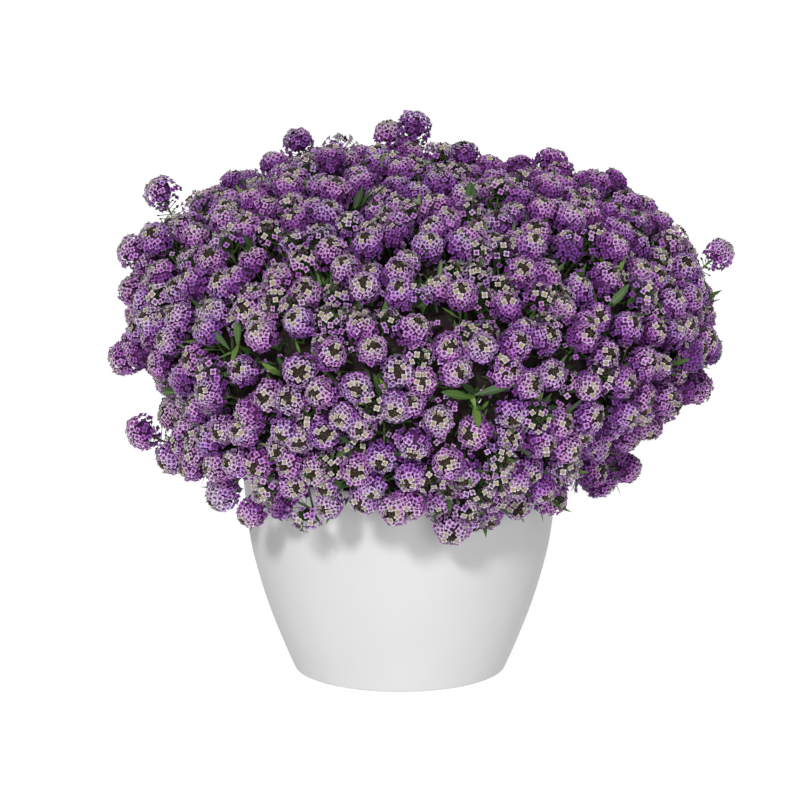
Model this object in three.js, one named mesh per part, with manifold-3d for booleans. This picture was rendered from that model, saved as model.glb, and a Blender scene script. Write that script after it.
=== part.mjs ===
/**
 * Sweet alyssum in a round nursery pot.
 *
 * Millimetres, +Z up. The origin is on the floor, at the middle of the pot's base, and the
 * plant's front faces -Y.
 *
 * The crown is a dome of flower heads that hangs over the pot's rim. It is shared out among
 * sprays. Each spray has a node of flower heads, fused where they meet, and a node of green: its
 * main stem, its branches and its leaves. The centres of the sprays, and the heads within each
 * spray, follow the spacing of seeds in a sunflower.
 */
import * as THREE from "three";
import { mergeVertices } from "three/addons/utils/BufferGeometryUtils.js";
import Module from "manifold-3d";

const wasm = await Module();
wasm.setup();

// Pot
const POT_SIDES = 32;
const POT_WALL = 2.4;
const POT_HEIGHT = 174;
const POT_PROFILE = [ // outer radius and height, from the foot to under the rim
  [83.2, 0],
  [85.2, 1.6],
  [94.8, 24],
  [106, 53.6],
  [114.8, 83],
  [121.2, 112.5],
  [126, 160],
];
const RIM_RADIUS = 129.4;
const RIM_DEPTH = 9;
const RIM_ROUND = 1.2; // bevel round the top and bottom of the rim

// Potting mix
const MIX_EDGE_HEIGHT = 154;
const MIX_MOUND = 7;
const GAP = 0.3; // between pieces that rest on each other

// Crown: the surface that the flower heads are rooted in. A polar angle is measured from
// straight up, in radians, and an azimuth from +X towards +Y.
const CROWN_HEIGHT = 262; // height of its widest level
const CROWN_RADIUS = 218;
const CROWN_RISE = 133; // from the widest level to the top
const CROWN_DROP = 150; // from the widest level to where the lower half would close
const CROWN_SHIFT = 14; // the crown leans to +X, but its skirt is centred on the pot
const SHOULDER_POWER = 0.83; // under 1, the shoulders are fuller than an ellipse's
const CROWN_LOBES = [
  { depth: 0.022, lobes: 3, lean: 0, start: 0.9 },
  { depth: 0.016, lobes: 5, lean: 4, start: 0 },
];
const CROWN_HOLLOW = { depth: 0.165, skew: 0.25, polar: 1.89, tilt: 0.08, width: 0.23 }; // below
const CROWN_DIP = { depth: 17, polar: 0.45, width: 0.3, azimuth: 1, spread: 0.6 }; // in the top
const SKIRT_POLAR = THREE.MathUtils.degToRad(138); // where the skirt ends, in front and behind
const SKIRT_RISE = 0.115; // how much sooner it ends at the sides
const SKIRT_TILT = 0.055; // how much further it hangs towards +X
const SKIRT_TONGUE = { depth: 0.12, azimuth: -1.3, width: 0.12 }; // where it hangs lowest
const AREA_STEPS = 720;

// Sprays and flower heads
const SPRAYS = 28;
const SPRAY_CORNERS = 20; // of the outline of a spray
const SPRAY_WEDGES = 36; // that its area is measured in
const SPRAY_REACH = 130; // at most
const SPRAY_INSET = 4.5; // of the outline from the border between sprays
const SPRAY_DEPTH = 7; // of its inside below the crown surface, at its middle
const HEAD_AREA = 825; // of the crown, for each head
const HEAD_SPACING = 32; // that heads are eased apart to, where there is room
const EASING_ROUNDS = 16;
const EASING = 0.25; // share of a shortfall in spacing that one round makes up
const HEAD_INSET = 12; // of a head's root from its spray's border
const HEAD_LENGTH = 24;
const HEAD_VARIETY = 5; // longer or shorter, at most
const SKIRT_HEAD_LENGTH = 16;
const SHORTENING_POLAR = 1.9; // below it, heads get shorter towards the skirt's edge
const HEAD_CAP = 5.5; // from the tip down to the widest ring
const HEAD_RADIUS = 14.5; // at most
const HEAD_SHARE = 0.76; // of the way from its middle to its neighbour that a head fills
const EDGE_SHARE = 0.92; // the same, to the outline of its spray
const HEAD_LEAN = 0.6; // how far heads turn up towards the light
const HEAD_ASKEW = new THREE.Vector3(0.36, 0.36, 0.3);
const TALL_RADIUS = 13.5;
const TALL_SIDES = 5;
const STALK_RADIUS = 1.8; // of a head that stands out
const STALK_TOP = 20; // from the tip down to where its stalk begins

// Heads that stand out from the crown: azimuth and polar angle in degrees, extra length in mm
const STAND_OUT_HEADS = [
  [85, 17, 31],
  [105, 23, 20],
  [134, 33, 22],
  [40, 35, 19],
  [174, 56, 34],
  [180, 70, 20],
  [12, 76, 27],
  [110, 66, 20],
  [60, 84, 16],
  [176, 92, 22],
  [-10, 99, 9],
  [128, 104, 14],
  [-172, 122, 32],
  [-94, 123, 8],
  [-76, 134, 9],
  [-142, 132, 6],
];

// Stems and leaves
const STEM_RADIUS = 2.2;
const STEM_SPREAD = 98; // radius on the mix that the stems stand in
const STEM_DEPTH = 6; // sunk in the mix
const HOLE_RADIUS = 4.8; // of the hole that a stem stands in
const STEM_GAP = 2.4; // between a stem's flat end and the heads it carries
const STEM_SIDES = 4;
const STEM_STEPS = 5;
const STEM_APPROACH = 32; // length of its last stretch, which comes up to the heads squarely
const STEM_OVERHANG = [1.75, 2.45]; // polar angles between which it turns to come straight down
const BRANCH_RADIUS = 1.2;
const BRANCH_START = 0.72; // share of the stem's length below a branch
const BRANCH_REACH = 0.55; // share of the way to the spray's border
const BRANCH_DEPTH = 8; // of a branch's end below the crown surface, clear of the heads
const BRANCHES = 1;
const SKIRT_BRANCHES = 2; // of the sprays that hang below the widest level
const SKIRT_LEVEL = 30; // below the widest level, where a spray counts as hanging
const LEAF_LENGTH = 30;
const LEAF_WIDTH = 6;
const LEAF_THICKNESS = 1.6;
const LEAF_WIDEST = 0.45; // share of its length
const LEAF_ROOT = 2; // sunk in the end of its branch
const TUFT_START = 0.8; // share of the stem's length below a tuft's stalk
const TUFT_DEPTH = 2; // of the end of its stalk below the crown surface
const TUFT_LEAVES = 2;
const TUFT_SPREAD = 0.34;
const TUFT_ROOM = 20; // between a tuft of leaves and the heads round it

const TURN = 2 * Math.PI;
const GOLDEN_ANGLE = Math.PI * (3 - Math.sqrt(5));
const UP = new THREE.Vector3(0, 0, 1);
const LATHE_AXIS = new THREE.Vector3(0, 1, 0);

const materials = {
  pot: new THREE.MeshStandardMaterial({ color: "#eeeeec", roughness: 0.35, metalness: 0 }),
  mix: new THREE.MeshStandardMaterial({ color: "#3a2a1e", roughness: 0.95, metalness: 0 }),
  green: new THREE.MeshStandardMaterial({ color: "#4c6a33", roughness: 0.7, metalness: 0 }),
  flower: new THREE.MeshStandardMaterial({ color: "#a98ac0", roughness: 0.7, metalness: 0 }),
};

/** A repeatable draw from 0 to 1 for the numbered item and channel. */
function draw(index, channel) {
  let a = Math.imul(index + 1, 0x9e3779b1) ^ Math.imul(channel + 1, 0x85ebca6b);
  a = Math.imul(a ^ (a >>> 16), 0x21f0aaad);
  a = Math.imul(a ^ (a >>> 15), 0x735a2d97);
  a ^= a >>> 15;
  return (a >>> 0) / 4294967296;
}

// ---- solids ----

function signedVolume(positions, index) {
  const [a, b, c] = [new THREE.Vector3(), new THREE.Vector3(), new THREE.Vector3()];
  let volume = 0;
  for (let i = 0; i < index.length; i += 3) {
    a.fromArray(positions, 3 * index[i]);
    b.fromArray(positions, 3 * index[i + 1]);
    c.fromArray(positions, 3 * index[i + 2]);
    volume += a.dot(b.cross(c)) / 6;
  }
  return volume;
}

/** The solid that a closed geometry bounds, with its faces turned out. */
function toSolid(geometry) {
  const bare = geometry.clone();
  for (const name of Object.keys(bare.attributes)) {
    if (name !== "position") bare.deleteAttribute(name);
  }
  const merged = mergeVertices(bare, 1e-4);
  const positions = merged.attributes.position.array;
  const corners = [];
  for (let i = 0; i < merged.index.count; i += 3) {
    const face = [0, 1, 2].map((j) => merged.index.getX(i + j));
    if (new Set(face).size === 3) corners.push(...face);
  }
  if (signedVolume(positions, corners) < 0) corners.reverse();
  return new wasm.Manifold(
    new wasm.Mesh({
      numProp: 3,
      vertProperties: Float32Array.from(positions),
      triVerts: Uint32Array.from(corners),
    }),
  );
}

function joined(solids) {
  return solids.reduce((whole, next) => whole.add(next));
}

function toMesh(name, solid, material) {
  const { vertProperties, triVerts } = solid.getMesh();
  const geometry = new THREE.BufferGeometry();
  geometry.setAttribute("position", new THREE.BufferAttribute(vertProperties, 3));
  geometry.setIndex(new THREE.BufferAttribute(triVerts, 1));
  geometry.computeVertexNormals();
  const mesh = new THREE.Mesh(geometry, material);
  mesh.name = name;
  return mesh;
}

/** A lathe turned about the Z axis from [radius, height] pairs. */
function turned(profile, sides) {
  const points = profile.map(([radius, height]) => new THREE.Vector2(radius, height));
  return toSolid(new THREE.LatheGeometry(points, sides).rotateX(Math.PI / 2));
}

/** Stands a geometry made along +Y at a place, turned so that +Y follows the direction. */
function placed(geometry, place, direction, spin) {
  const turn = new THREE.Quaternion().setFromUnitVectors(LATHE_AXIS, direction);
  const twist = new THREE.Quaternion().setFromAxisAngle(LATHE_AXIS, spin);
  const matrix = new THREE.Matrix4().compose(
    place,
    turn.multiply(twist),
    new THREE.Vector3(1, 1, 1),
  );
  return toSolid(geometry.applyMatrix4(matrix));
}

// ---- the crown ----

/** A smooth bump: 1 at its middle, and close to 0 at twice its width from there. */
function bump(offset, width) {
  return Math.exp(-((offset / width) ** 2));
}

/** Gentle lobes round the crown, with a hollow under the widest level on both sides. */
function swell(polar, azimuth) {
  const wave = ({ depth, lobes, lean, start }) => {
    return depth * Math.sin(lobes * azimuth + lean * polar + start);
  };
  const lobed = CROWN_LOBES.map(wave).reduce((sum, part) => sum + part);
  const { depth, skew, polar: middle, tilt, width } = CROWN_HOLLOW;
  const side = Math.cos(azimuth);
  const sided = depth * (1 + skew * side) * side ** 2;
  return 1 + lobed * Math.sin(polar) ** 3 - sided * bump(polar - middle - tilt * side, width);
}

/** A shallow dip in the top of the crown, behind and to the right of its middle. */
function dip(polar, azimuth) {
  const { depth, polar: middle, width, azimuth: side, spread } = CROWN_DIP;
  return depth * bump(polar - middle, width) * bump(wrapped(azimuth) - side, spread);
}

/** The same azimuth, between half a turn back and half a turn on. */
function wrapped(azimuth) {
  return Math.atan2(Math.sin(azimuth), Math.cos(azimuth));
}

/** Where the skirt ends. It hangs lower in front and behind than at the sides. */
function skirtEdge(azimuth) {
  const side = Math.cos(azimuth);
  const { depth, azimuth: middle, width } = SKIRT_TONGUE;
  const tongue = depth * bump(wrapped(azimuth) - middle, width);
  return SKIRT_POLAR - SKIRT_RISE * side ** 4 + SKIRT_TILT * side + tongue;
}

function power(polar) {
  return polar < Math.PI / 2 ? SHOULDER_POWER : 1;
}

function shift(polar) {
  const below = Math.max(0, (polar - Math.PI / 2) / (SKIRT_POLAR - Math.PI / 2));
  return CROWN_SHIFT * (1 - below ** 2);
}

/** Radius and height of the even crown, without its lobes. */
function meridian(polar) {
  const level = Math.cos(polar);
  const rise = level > 0 ? CROWN_RISE * level ** SHOULDER_POWER : CROWN_DROP * level;
  return new THREE.Vector2(
    CROWN_RADIUS * Math.sin(polar) ** power(polar),
    CROWN_HEIGHT + rise,
  );
}

function crownPoint(polar, azimuth) {
  const { x: even, y: height } = meridian(polar);
  const radius = even * swell(polar, azimuth);
  return new THREE.Vector3(
    shift(polar) + radius * Math.cos(azimuth),
    radius * Math.sin(azimuth),
    height - dip(polar, azimuth),
  );
}

/** Polar and azimuth angles of the crown point that lies in line with a point near it. */
function anglesOf(point) {
  let polar = Math.PI / 2;
  let azimuth = 0;
  for (let round = 0; round < 4; round++) {
    const x = point.x - shift(polar);
    azimuth = Math.atan2(point.y, x);
    const across = Math.hypot(x, point.y) / (CROWN_RADIUS * swell(polar, azimuth));
    const rise = point.z + dip(polar, azimuth) - CROWN_HEIGHT;
    const [level, exponent] =
      rise > 0 ? [rise / CROWN_RISE, 1 / SHOULDER_POWER] : [rise / CROWN_DROP, 1];
    polar = Math.atan2(across ** exponent, Math.sign(level) * Math.abs(level) ** exponent);
  }
  return { polar, azimuth };
}

function crownNormal(polar, azimuth) {
  const step = 0.01;
  const clear = Math.max(polar, 2 * step);
  const down = crownPoint(clear + step, azimuth).sub(crownPoint(clear - step, azimuth));
  const round = crownPoint(clear, azimuth + step).sub(crownPoint(clear, azimuth - step));
  return down.cross(round).normalize();
}

/** Area of the crown from its top down to each of the polar steps. */
function runningArea() {
  const totals = [0];
  for (let step = 0; step < AREA_STEPS; step++) {
    const upper = meridian((SKIRT_POLAR * step) / AREA_STEPS);
    const lower = meridian((SKIRT_POLAR * (step + 1)) / AREA_STEPS);
    totals.push(totals[step] + Math.PI * (upper.x + lower.x) * upper.distanceTo(lower));
  }
  return totals;
}

const crownArea = runningArea();

/** Polar angle above which the crown has the given share of its area. */
function polarAtShare(share) {
  const wanted = share * crownArea[AREA_STEPS];
  const step = crownArea.findIndex((area) => area > wanted) - 1;
  const part = (wanted - crownArea[step]) / (crownArea[step + 1] - crownArea[step]);
  return (SKIRT_POLAR * (step + part)) / AREA_STEPS;
}

// ---- sprays ----

/** Centre, outward normal and two directions along the crown, for each spray. */
function spraysOf(count) {
  return Array.from({ length: count }, (_, index) => {
    const polar = polarAtShare((index + 0.5) / count);
    const azimuth = index * GOLDEN_ANGLE;
    const centre = crownPoint(polar, azimuth);
    const normal = crownNormal(polar, azimuth);
    const along = new THREE.Vector3(-Math.sin(azimuth), Math.cos(azimuth), 0);
    const across = new THREE.Vector3().crossVectors(normal, along).normalize();
    return { index, polar, azimuth, centre, normal, along, across };
  });
}

const sprays = spraysOf(SPRAYS);

/** Distance from a point in a spray to its nearest border, or to the edge of the skirt. */
function borderDistance(point, spray) {
  const { polar, azimuth } = anglesOf(point);
  let nearest = (skirtEdge(azimuth) - polar) * CROWN_DROP;
  for (const other of sprays) {
    if (other === spray) continue;
    const apart = other.centre.distanceTo(spray.centre);
    const far = point.distanceToSquared(other.centre);
    const near = point.distanceToSquared(spray.centre);
    nearest = Math.min(nearest, (far - near) / (2 * apart));
  }
  return nearest;
}

/** The crown point that lies a distance from a spray's centre at an angle round it. */
function sprayPoint(spray, angle, distance) {
  const flat = spray.centre
    .clone()
    .addScaledVector(spray.along, distance * Math.cos(angle))
    .addScaledVector(spray.across, distance * Math.sin(angle));
  const { polar, azimuth } = anglesOf(flat);
  return crownPoint(polar, azimuth);
}

/** How far a spray reaches at an angle, kept the inset away from its border. */
function reach(spray, angle, inset) {
  let distance = 4;
  while (distance < SPRAY_REACH) {
    const point = sprayPoint(spray, angle, distance + 1);
    if (borderDistance(point, spray) < inset) break;
    distance += 1;
  }
  return distance;
}

// ---- flower heads ----

function headLength(polar) {
  const below = (polar - SHORTENING_POLAR) / (SKIRT_POLAR - SHORTENING_POLAR);
  return THREE.MathUtils.lerp(
    HEAD_LENGTH,
    SKIRT_HEAD_LENGTH,
    THREE.MathUtils.clamp(below, 0, 1),
  );
}

/** Direction that a head faces: out from the crown, turned up to the light, and a little askew. */
function headAxis(polar, azimuth, seed) {
  const axis = crownNormal(polar, azimuth).addScaledVector(UP, HEAD_LEAN);
  const [x, y, z] = [1, 2, 3].map((channel) => draw(seed, channel) - 0.5);
  return axis.add(new THREE.Vector3(x, y, z).multiply(HEAD_ASKEW)).normalize();
}

function headAt({ spray, seed, point, extra }) {
  const { polar, azimuth } = anglesOf(point);
  const axis = headAxis(polar, azimuth, seed);
  const length = headLength(polar) + (extra ?? HEAD_VARIETY * (2 * draw(seed, 6) - 1));
  const tip = point.clone().addScaledVector(axis, length);
  return { spray, seed, root: point, axis, length, tip };
}

/** First places of a spray's heads: as many as its area holds, spread like sunflower seeds. */
function rootsOf(spray) {
  const wedge = TURN / SPRAY_WEDGES;
  const wedges = Array.from({ length: SPRAY_WEDGES }, (_, order) => order * wedge);
  const area = wedges.reduce((sum, angle) => {
    return sum + (reach(spray, angle, 0) ** 2 * wedge) / 2;
  }, 0);
  const count = Math.round(area / HEAD_AREA);
  return Array.from({ length: count }, (_, order) => {
    const seed = 100 * spray.index + order;
    const angle = order * GOLDEN_ANGLE + TURN * draw(spray.index, 5);
    const far = reach(spray, angle, HEAD_INSET);
    const point = sprayPoint(spray, angle, far * Math.sqrt((order + 0.5) / count));
    return { spray, seed, point };
  });
}

/** A point brought back to the crown, inside its spray's border and above the skirt's edge. */
function held(point, spray) {
  const kept = point.clone();
  for (const other of sprays) {
    if (other === spray) continue;
    const apart = other.centre.distanceTo(spray.centre);
    const far = kept.distanceToSquared(other.centre);
    const near = kept.distanceToSquared(spray.centre);
    const short = HEAD_INSET - (far - near) / (2 * apart);
    if (short <= 0) continue;
    kept.addScaledVector(spray.centre.clone().sub(other.centre), short / apart);
  }
  const { polar, azimuth } = anglesOf(kept);
  return crownPoint(Math.min(polar, skirtEdge(azimuth) - HEAD_INSET / CROWN_DROP), azimuth);
}

/** Heads that stand out: each belongs to the spray whose centre is nearest. */
function standOuts() {
  return STAND_OUT_HEADS.map(([azimuth, polar, extra], order) => {
    const wanted = crownPoint(
      THREE.MathUtils.degToRad(polar),
      THREE.MathUtils.degToRad(azimuth),
    );
    const distance = (spray) => spray.centre.distanceTo(wanted);
    const spray = sprays.reduce((best, next) => (distance(next) < distance(best) ? next : best));
    return { spray, seed: 5000 + order, point: held(wanted, spray), extra };
  });
}

/** Points of the crown where three sprays meet, and where leaves grow up between them. */
function meetings() {
  const found = [];
  for (const [a, b, c] of triples(sprays)) {
    const triangle = new THREE.Triangle(a.centre, b.centre, c.centre);
    const middle = circumcentre(triangle);
    const { polar, azimuth } = anglesOf(middle);
    if (polar > skirtEdge(azimuth) - TUFT_ROOM / CROWN_DROP) continue;
    const point = crownPoint(polar, azimuth);
    const near = point.distanceTo(a.centre) + 1;
    const others = sprays.filter((spray) => ![a, b, c].includes(spray));
    if (others.some((spray) => point.distanceTo(spray.centre) < near)) continue;
    const leavesOf = (spray) => found.filter((tuft) => tuft.spray === spray).length;
    const [spray] = [a, b, c].sort((one, other) => leavesOf(one) - leavesOf(other));
    found.push({ spray, seed: 7000 + found.length, point });
  }
  return found;
}

function triples(items) {
  return items.flatMap((a, i) =>
    items.slice(i + 1).flatMap((b, j) => items.slice(i + j + 2).map((c) => [a, b, c])),
  );
}

function circumcentre({ a, b, c }) {
  const ab = b.clone().sub(a);
  const ac = c.clone().sub(a);
  const normal = ab.clone().cross(ac);
  const toCentre = normal.clone().cross(ab).multiplyScalar(ac.lengthSq());
  toCentre.add(ac.clone().cross(normal).multiplyScalar(ab.lengthSq()));
  return toCentre.divideScalar(2 * normal.lengthSq()).add(a);
}

/** The places, eased apart along the crown. The pinned ones stay and keep their own room. */
function eased(first, pinned) {
  let roots = first;
  for (let round = 0; round < EASING_ROUNDS; round++) {
    const before = [...roots, ...pinned];
    roots = roots.map((root) => {
      const point = root.point.clone();
      for (const other of before) {
        if (other === root) continue;
        const away = root.point.clone().sub(other.point);
        const short = (other.room ?? HEAD_SPACING) - away.length();
        if (short > 0) point.addScaledVector(away.normalize(), short * EASING);
      }
      return { ...root, point: held(point, root.spray) };
    });
  }
  return roots;
}

const tufts = meetings().map((meeting) => ({ ...meeting, room: TUFT_ROOM }));
const tall = standOuts();
const heads = eased(sprays.flatMap(rootsOf), tufts).map(headAt);

/** A point as distances from the middle of a spray, square to its normal. */
function flatOf(spray, point) {
  const from = point.clone().sub(spray.centre);
  return new THREE.Vector2(from.dot(spray.along), from.dot(spray.across));
}

/** The crown point that flatOf takes to a flat place, found by closing in on it. */
function crownAt(spray, flat) {
  const guess = flat.clone();
  let point;
  for (let round = 0; round < 8; round++) {
    point = sprayPoint(spray, guess.angle(), guess.length());
    guess.add(flat).sub(flatOf(spray, point));
  }
  return point;
}

/** What is left of a flat outline when all that lies further than a limit along a line is cut. */
function cutAcross(outline, line, limit) {
  return outline.flatMap((corner, index) => {
    const next = outline[(index + 1) % outline.length];
    const [here, there] = [corner.dot(line) - limit, next.dot(line) - limit];
    const kept = here <= 0 ? [corner] : [];
    if (here * there >= 0) return kept;
    return [...kept, corner.clone().lerp(next, here / (here - there))];
  });
}

/** The side of an outline that lies nearer to one flat place than to another. */
function nearerTo(outline, own, other) {
  return cutAcross(outline, other.clone().sub(own), (other.lengthSq() - own.lengthSq()) / 2);
}

/** An outline without its hollow corners. */
function bridged(outline) {
  const hollow = outline.findIndex((corner, index) => {
    const before = corner.clone().sub(outline.at(index - 1));
    const after = outline[(index + 1) % outline.length].clone().sub(corner);
    return before.cross(after) < 1e-6;
  });
  return hollow < 0 ? outline : bridged(outline.filter((_, index) => index !== hollow));
}

/** The flat outline of a spray. */
function outlineOf(spray) {
  return bridged(
    Array.from({ length: SPRAY_CORNERS }, (_, turn) => {
      const angle = (TURN * turn) / SPRAY_CORNERS;
      return flatOf(spray, sprayPoint(spray, angle, reach(spray, angle, SPRAY_INSET)));
    }),
  );
}

/** Collects corners, one for each place, and the triangles between them. */
function meshBuilder() {
  const corners = [];
  const index = [];
  const cornerAt = (point) => {
    const known = corners.findIndex((corner) => corner.distanceToSquared(point) < 1e-6);
    return known >= 0 ? known : corners.push(point) - 1;
  };
  const addFace = (...points) => {
    const face = points.map(cornerAt);
    if (new Set(face).size === 3) index.push(...face);
  };
  const geometry = () => new THREE.BufferGeometry().setFromPoints(corners).setIndex(index);
  return { addFace, geometry };
}

/**
 * The flower heads of a spray, fused where they meet. Each head fills the part of the spray that
 * lies nearest to it: a steep flank up to its widest ring, and a cap of facets up to its tip.
 */
function headsSolid(spray) {
  const own = heads.filter((head) => head.spray === spray);
  const outline = outlineOf(spray);
  const inside = spray.centre.clone().addScaledVector(spray.normal, -SPRAY_DEPTH);
  const { addFace, geometry } = meshBuilder();
  for (const head of own) {
    const flat = flatOf(spray, head.root);
    const cell = own
      .filter((other) => other !== head)
      .reduce((rest, other) => nearerTo(rest, flat, flatOf(spray, other.root)), outline);
    const feet = cell.map((corner) => crownAt(spray, corner));
    const ring = feet.map((foot, index) => {
      const share = onOutline(cell[index], outline) ? EDGE_SHARE : HEAD_SHARE;
      const out = foot.clone().sub(head.root).multiplyScalar(share).clampLength(0, HEAD_RADIUS);
      return head.root.clone().add(out).addScaledVector(head.axis, head.length - HEAD_CAP);
    });
    feet.forEach((foot, index) => {
      const next = (index + 1) % feet.length;
      addFace(head.tip, ring[index], ring[next]);
      addFace(ring[index], foot, feet[next]);
      addFace(ring[index], feet[next], ring[next]);
      if (onOutline(cell[index], outline) && onOutline(cell[next], outline)) {
        const middle = cell[index].clone().lerp(cell[next], 0.5);
        if (onOutline(middle, outline)) addFace(feet[next], foot, inside);
      }
    });
  }
  return toSolid(geometry());
}

function onOutline(place, outline) {
  return outline.some((corner, index) => {
    const next = outline[(index + 1) % outline.length];
    const along = next.clone().sub(corner);
    const length = along.length();
    const from = place.clone().sub(corner);
    const beside = Math.abs(from.cross(along)) / length;
    const ahead = from.dot(along) / length;
    return beside < 1e-6 && ahead > -1e-6 && ahead < length + 1e-6;
  });
}

/** A head that stands out: a domed cap, a taper and a stalk sunk in the heads below it. */
function tallSolid({ seed, tip, length, axis }) {
  const profile = [
    new THREE.Vector2(0, -length),
    new THREE.Vector2(STALK_RADIUS, 1 - length),
    new THREE.Vector2(STALK_RADIUS, -STALK_TOP),
    new THREE.Vector2(TALL_RADIUS, -HEAD_CAP),
    new THREE.Vector2(0, 0),
  ];
  const geometry = new THREE.LatheGeometry(profile, TALL_SIDES);
  return placed(geometry, tip, axis, TURN * draw(seed, 7));
}

function flowerSolid(spray) {
  const own = tall.filter((head) => head.spray === spray).map(headAt);
  return joined([headsSolid(spray), ...own.map(tallSolid)]);
}

// ---- pot and potting mix ----

function potSolid() {
  const [neckRadius] = POT_PROFILE.at(-1);
  const rim = [
    [neckRadius, POT_HEIGHT - RIM_DEPTH],
    [RIM_RADIUS, POT_HEIGHT - RIM_DEPTH + RIM_ROUND],
    [RIM_RADIUS, POT_HEIGHT - RIM_ROUND],
    [RIM_RADIUS - RIM_ROUND, POT_HEIGHT],
  ];
  const inside = innerWall(0, POT_HEIGHT).reverse();
  return turned([[0, 0], ...POT_PROFILE, ...rim, ...inside, [0, POT_WALL]], POT_SIDES);
}

/** Points up the inside of the wall, drawn in by a gap, from the pot's floor to a height. */
function innerWall(gap, height) {
  const inset = POT_WALL + gap;
  const [footRadius] = POT_PROFILE[1];
  return [
    [footRadius - inset, inset],
    ...[POT_PROFILE[3], POT_PROFILE[5]].map(([radius, z]) => [radius - inset, z]),
    [wallRadius(height) - inset, height],
  ];
}

/** Outer radius of the straight upper wall, also where the line of it runs on past its end. */
function wallRadius(height) {
  const [[lowRadius, low], [highRadius, high]] = POT_PROFILE.slice(-2);
  return THREE.MathUtils.mapLinear(height, low, high, lowRadius, highRadius);
}

function mixSolid() {
  const wall = innerWall(GAP, MIX_EDGE_HEIGHT);
  const whole = turned([[0, POT_WALL + GAP], ...wall, [0, mixHeight(0)]], POT_SIDES);
  const holes = sprays.map((spray) => {
    const foot = stemFoot(spray);
    const hole = new THREE.CylinderGeometry(HOLE_RADIUS, HOLE_RADIUS, 4 * STEM_DEPTH, 4);
    return placed(hole, foot.setZ(foot.z - GAP + 2 * STEM_DEPTH), UP, 0);
  });
  return whole.subtract(joined(holes));
}

/** Height of the mix's low mound at a radius. */
function mixHeight(radius) {
  const edge = wallRadius(MIX_EDGE_HEIGHT) - POT_WALL;
  return MIX_EDGE_HEIGHT + MIX_MOUND * (1 - radius / edge);
}

// ---- stems and leaves ----

function stemFoot(spray) {
  const radius = STEM_SPREAD * Math.sqrt((spray.index + 0.5) / SPRAYS);
  const height = mixHeight(radius) - STEM_DEPTH;
  return new THREE.Vector3(
    radius * Math.cos(spray.azimuth),
    radius * Math.sin(spray.azimuth),
    height,
  );
}

/** A stem rises from the mix and comes up under the heads, over the pot's rim if need be. */
function stemPath(spray) {
  const foot = stemFoot(spray);
  const inward = spray.normal.clone().negate();
  const level = 1 - THREE.MathUtils.smoothstep(spray.polar, ...STEM_OVERHANG);
  const approach = inward.clone().multiply(new THREE.Vector3(level, level, 1)).normalize();
  const end = spray.centre.clone().addScaledVector(inward, SPRAY_DEPTH + STEM_GAP);
  return new THREE.CatmullRomCurve3([
    foot,
    foot.clone().addScaledVector(UP, 4 * STEM_DEPTH),
    end.clone().addScaledVector(approach, STEM_APPROACH),
    end,
  ]);
}

/** A bar with flat ends along a path. */
function bar(path, radius, sides, steps) {
  const section = new THREE.Shape();
  for (let side = 0; side < sides; side++) {
    const angle = (TURN * side) / sides;
    const corner = [radius * Math.cos(angle), radius * Math.sin(angle)];
    if (side === 0) {
      section.moveTo(...corner);
    } else {
      section.lineTo(...corner);
    }
  }
  section.closePath();
  return toSolid(
    new THREE.ExtrudeGeometry(section, { extrudePath: path, steps, bevelEnabled: false }),
  );
}

/** A narrow leaf, widest before its middle, from a base along a direction. */
function leaf(base, direction, length, spin) {
  const profile = [
    new THREE.Vector2(0, 0),
    new THREE.Vector2(1, LEAF_WIDEST * length),
    new THREE.Vector2(0, length),
  ];
  const geometry = new THREE.LatheGeometry(profile, 4);
  geometry.scale(LEAF_WIDTH / 2, 1, LEAF_THICKNESS / 2);
  return placed(geometry, base, direction, spin);
}

function leafLength(seed) {
  return LEAF_LENGTH * (0.8 + 0.4 * draw(seed, 8));
}

/** A side branch to below the heads, with a leaf at its end. */
function branchPieces(spray, path, order) {
  const seed = 9000 + 10 * spray.index + order;
  const angle = TURN * (order / SKIRT_BRANCHES + draw(seed, 9));
  const start = path.getPointAt(BRANCH_START);
  const under = sprayPoint(spray, angle, BRANCH_REACH * reach(spray, angle, SPRAY_INSET));
  const outer = sprayPoint(spray, angle, reach(spray, angle, 0));
  const end = under.clone().addScaledVector(spray.normal, -BRANCH_DEPTH);
  const line = new THREE.LineCurve3(start, end);
  const tipward = outer.sub(under).normalize();
  const base = end.clone().addScaledVector(line.getTangent(0), -LEAF_ROOT);
  const blade = leaf(base, tipward, leafLength(seed), TURN * draw(seed, 10));
  return { limb: bar(line, BRANCH_RADIUS, 3, 1), leaves: [blade] };
}

/** A stalk to where sprays meet, with leaves that grow up between the heads. */
function tuftPieces(tuft, path) {
  const { polar, azimuth } = anglesOf(tuft.point);
  const axis = headAxis(polar, azimuth, tuft.seed);
  const normal = crownNormal(polar, azimuth);
  const end = tuft.point.clone().addScaledVector(normal, -TUFT_DEPTH);
  const line = new THREE.LineCurve3(path.getPointAt(TUFT_START), end);
  const base = end.clone().addScaledVector(line.getTangent(0), -LEAF_ROOT);
  const leaves = Array.from({ length: TUFT_LEAVES }, (_, order) => {
    const spin = TURN * (order / TUFT_LEAVES + draw(tuft.seed, 10));
    const side = new THREE.Vector3(Math.cos(spin), Math.sin(spin), 0).cross(axis).normalize();
    const direction = axis.clone().addScaledVector(side, TUFT_SPREAD).normalize();
    return leaf(base, direction, leafLength(tuft.seed + order), spin);
  });
  return { limb: bar(line, BRANCH_RADIUS, 3, 1), leaves };
}

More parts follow.
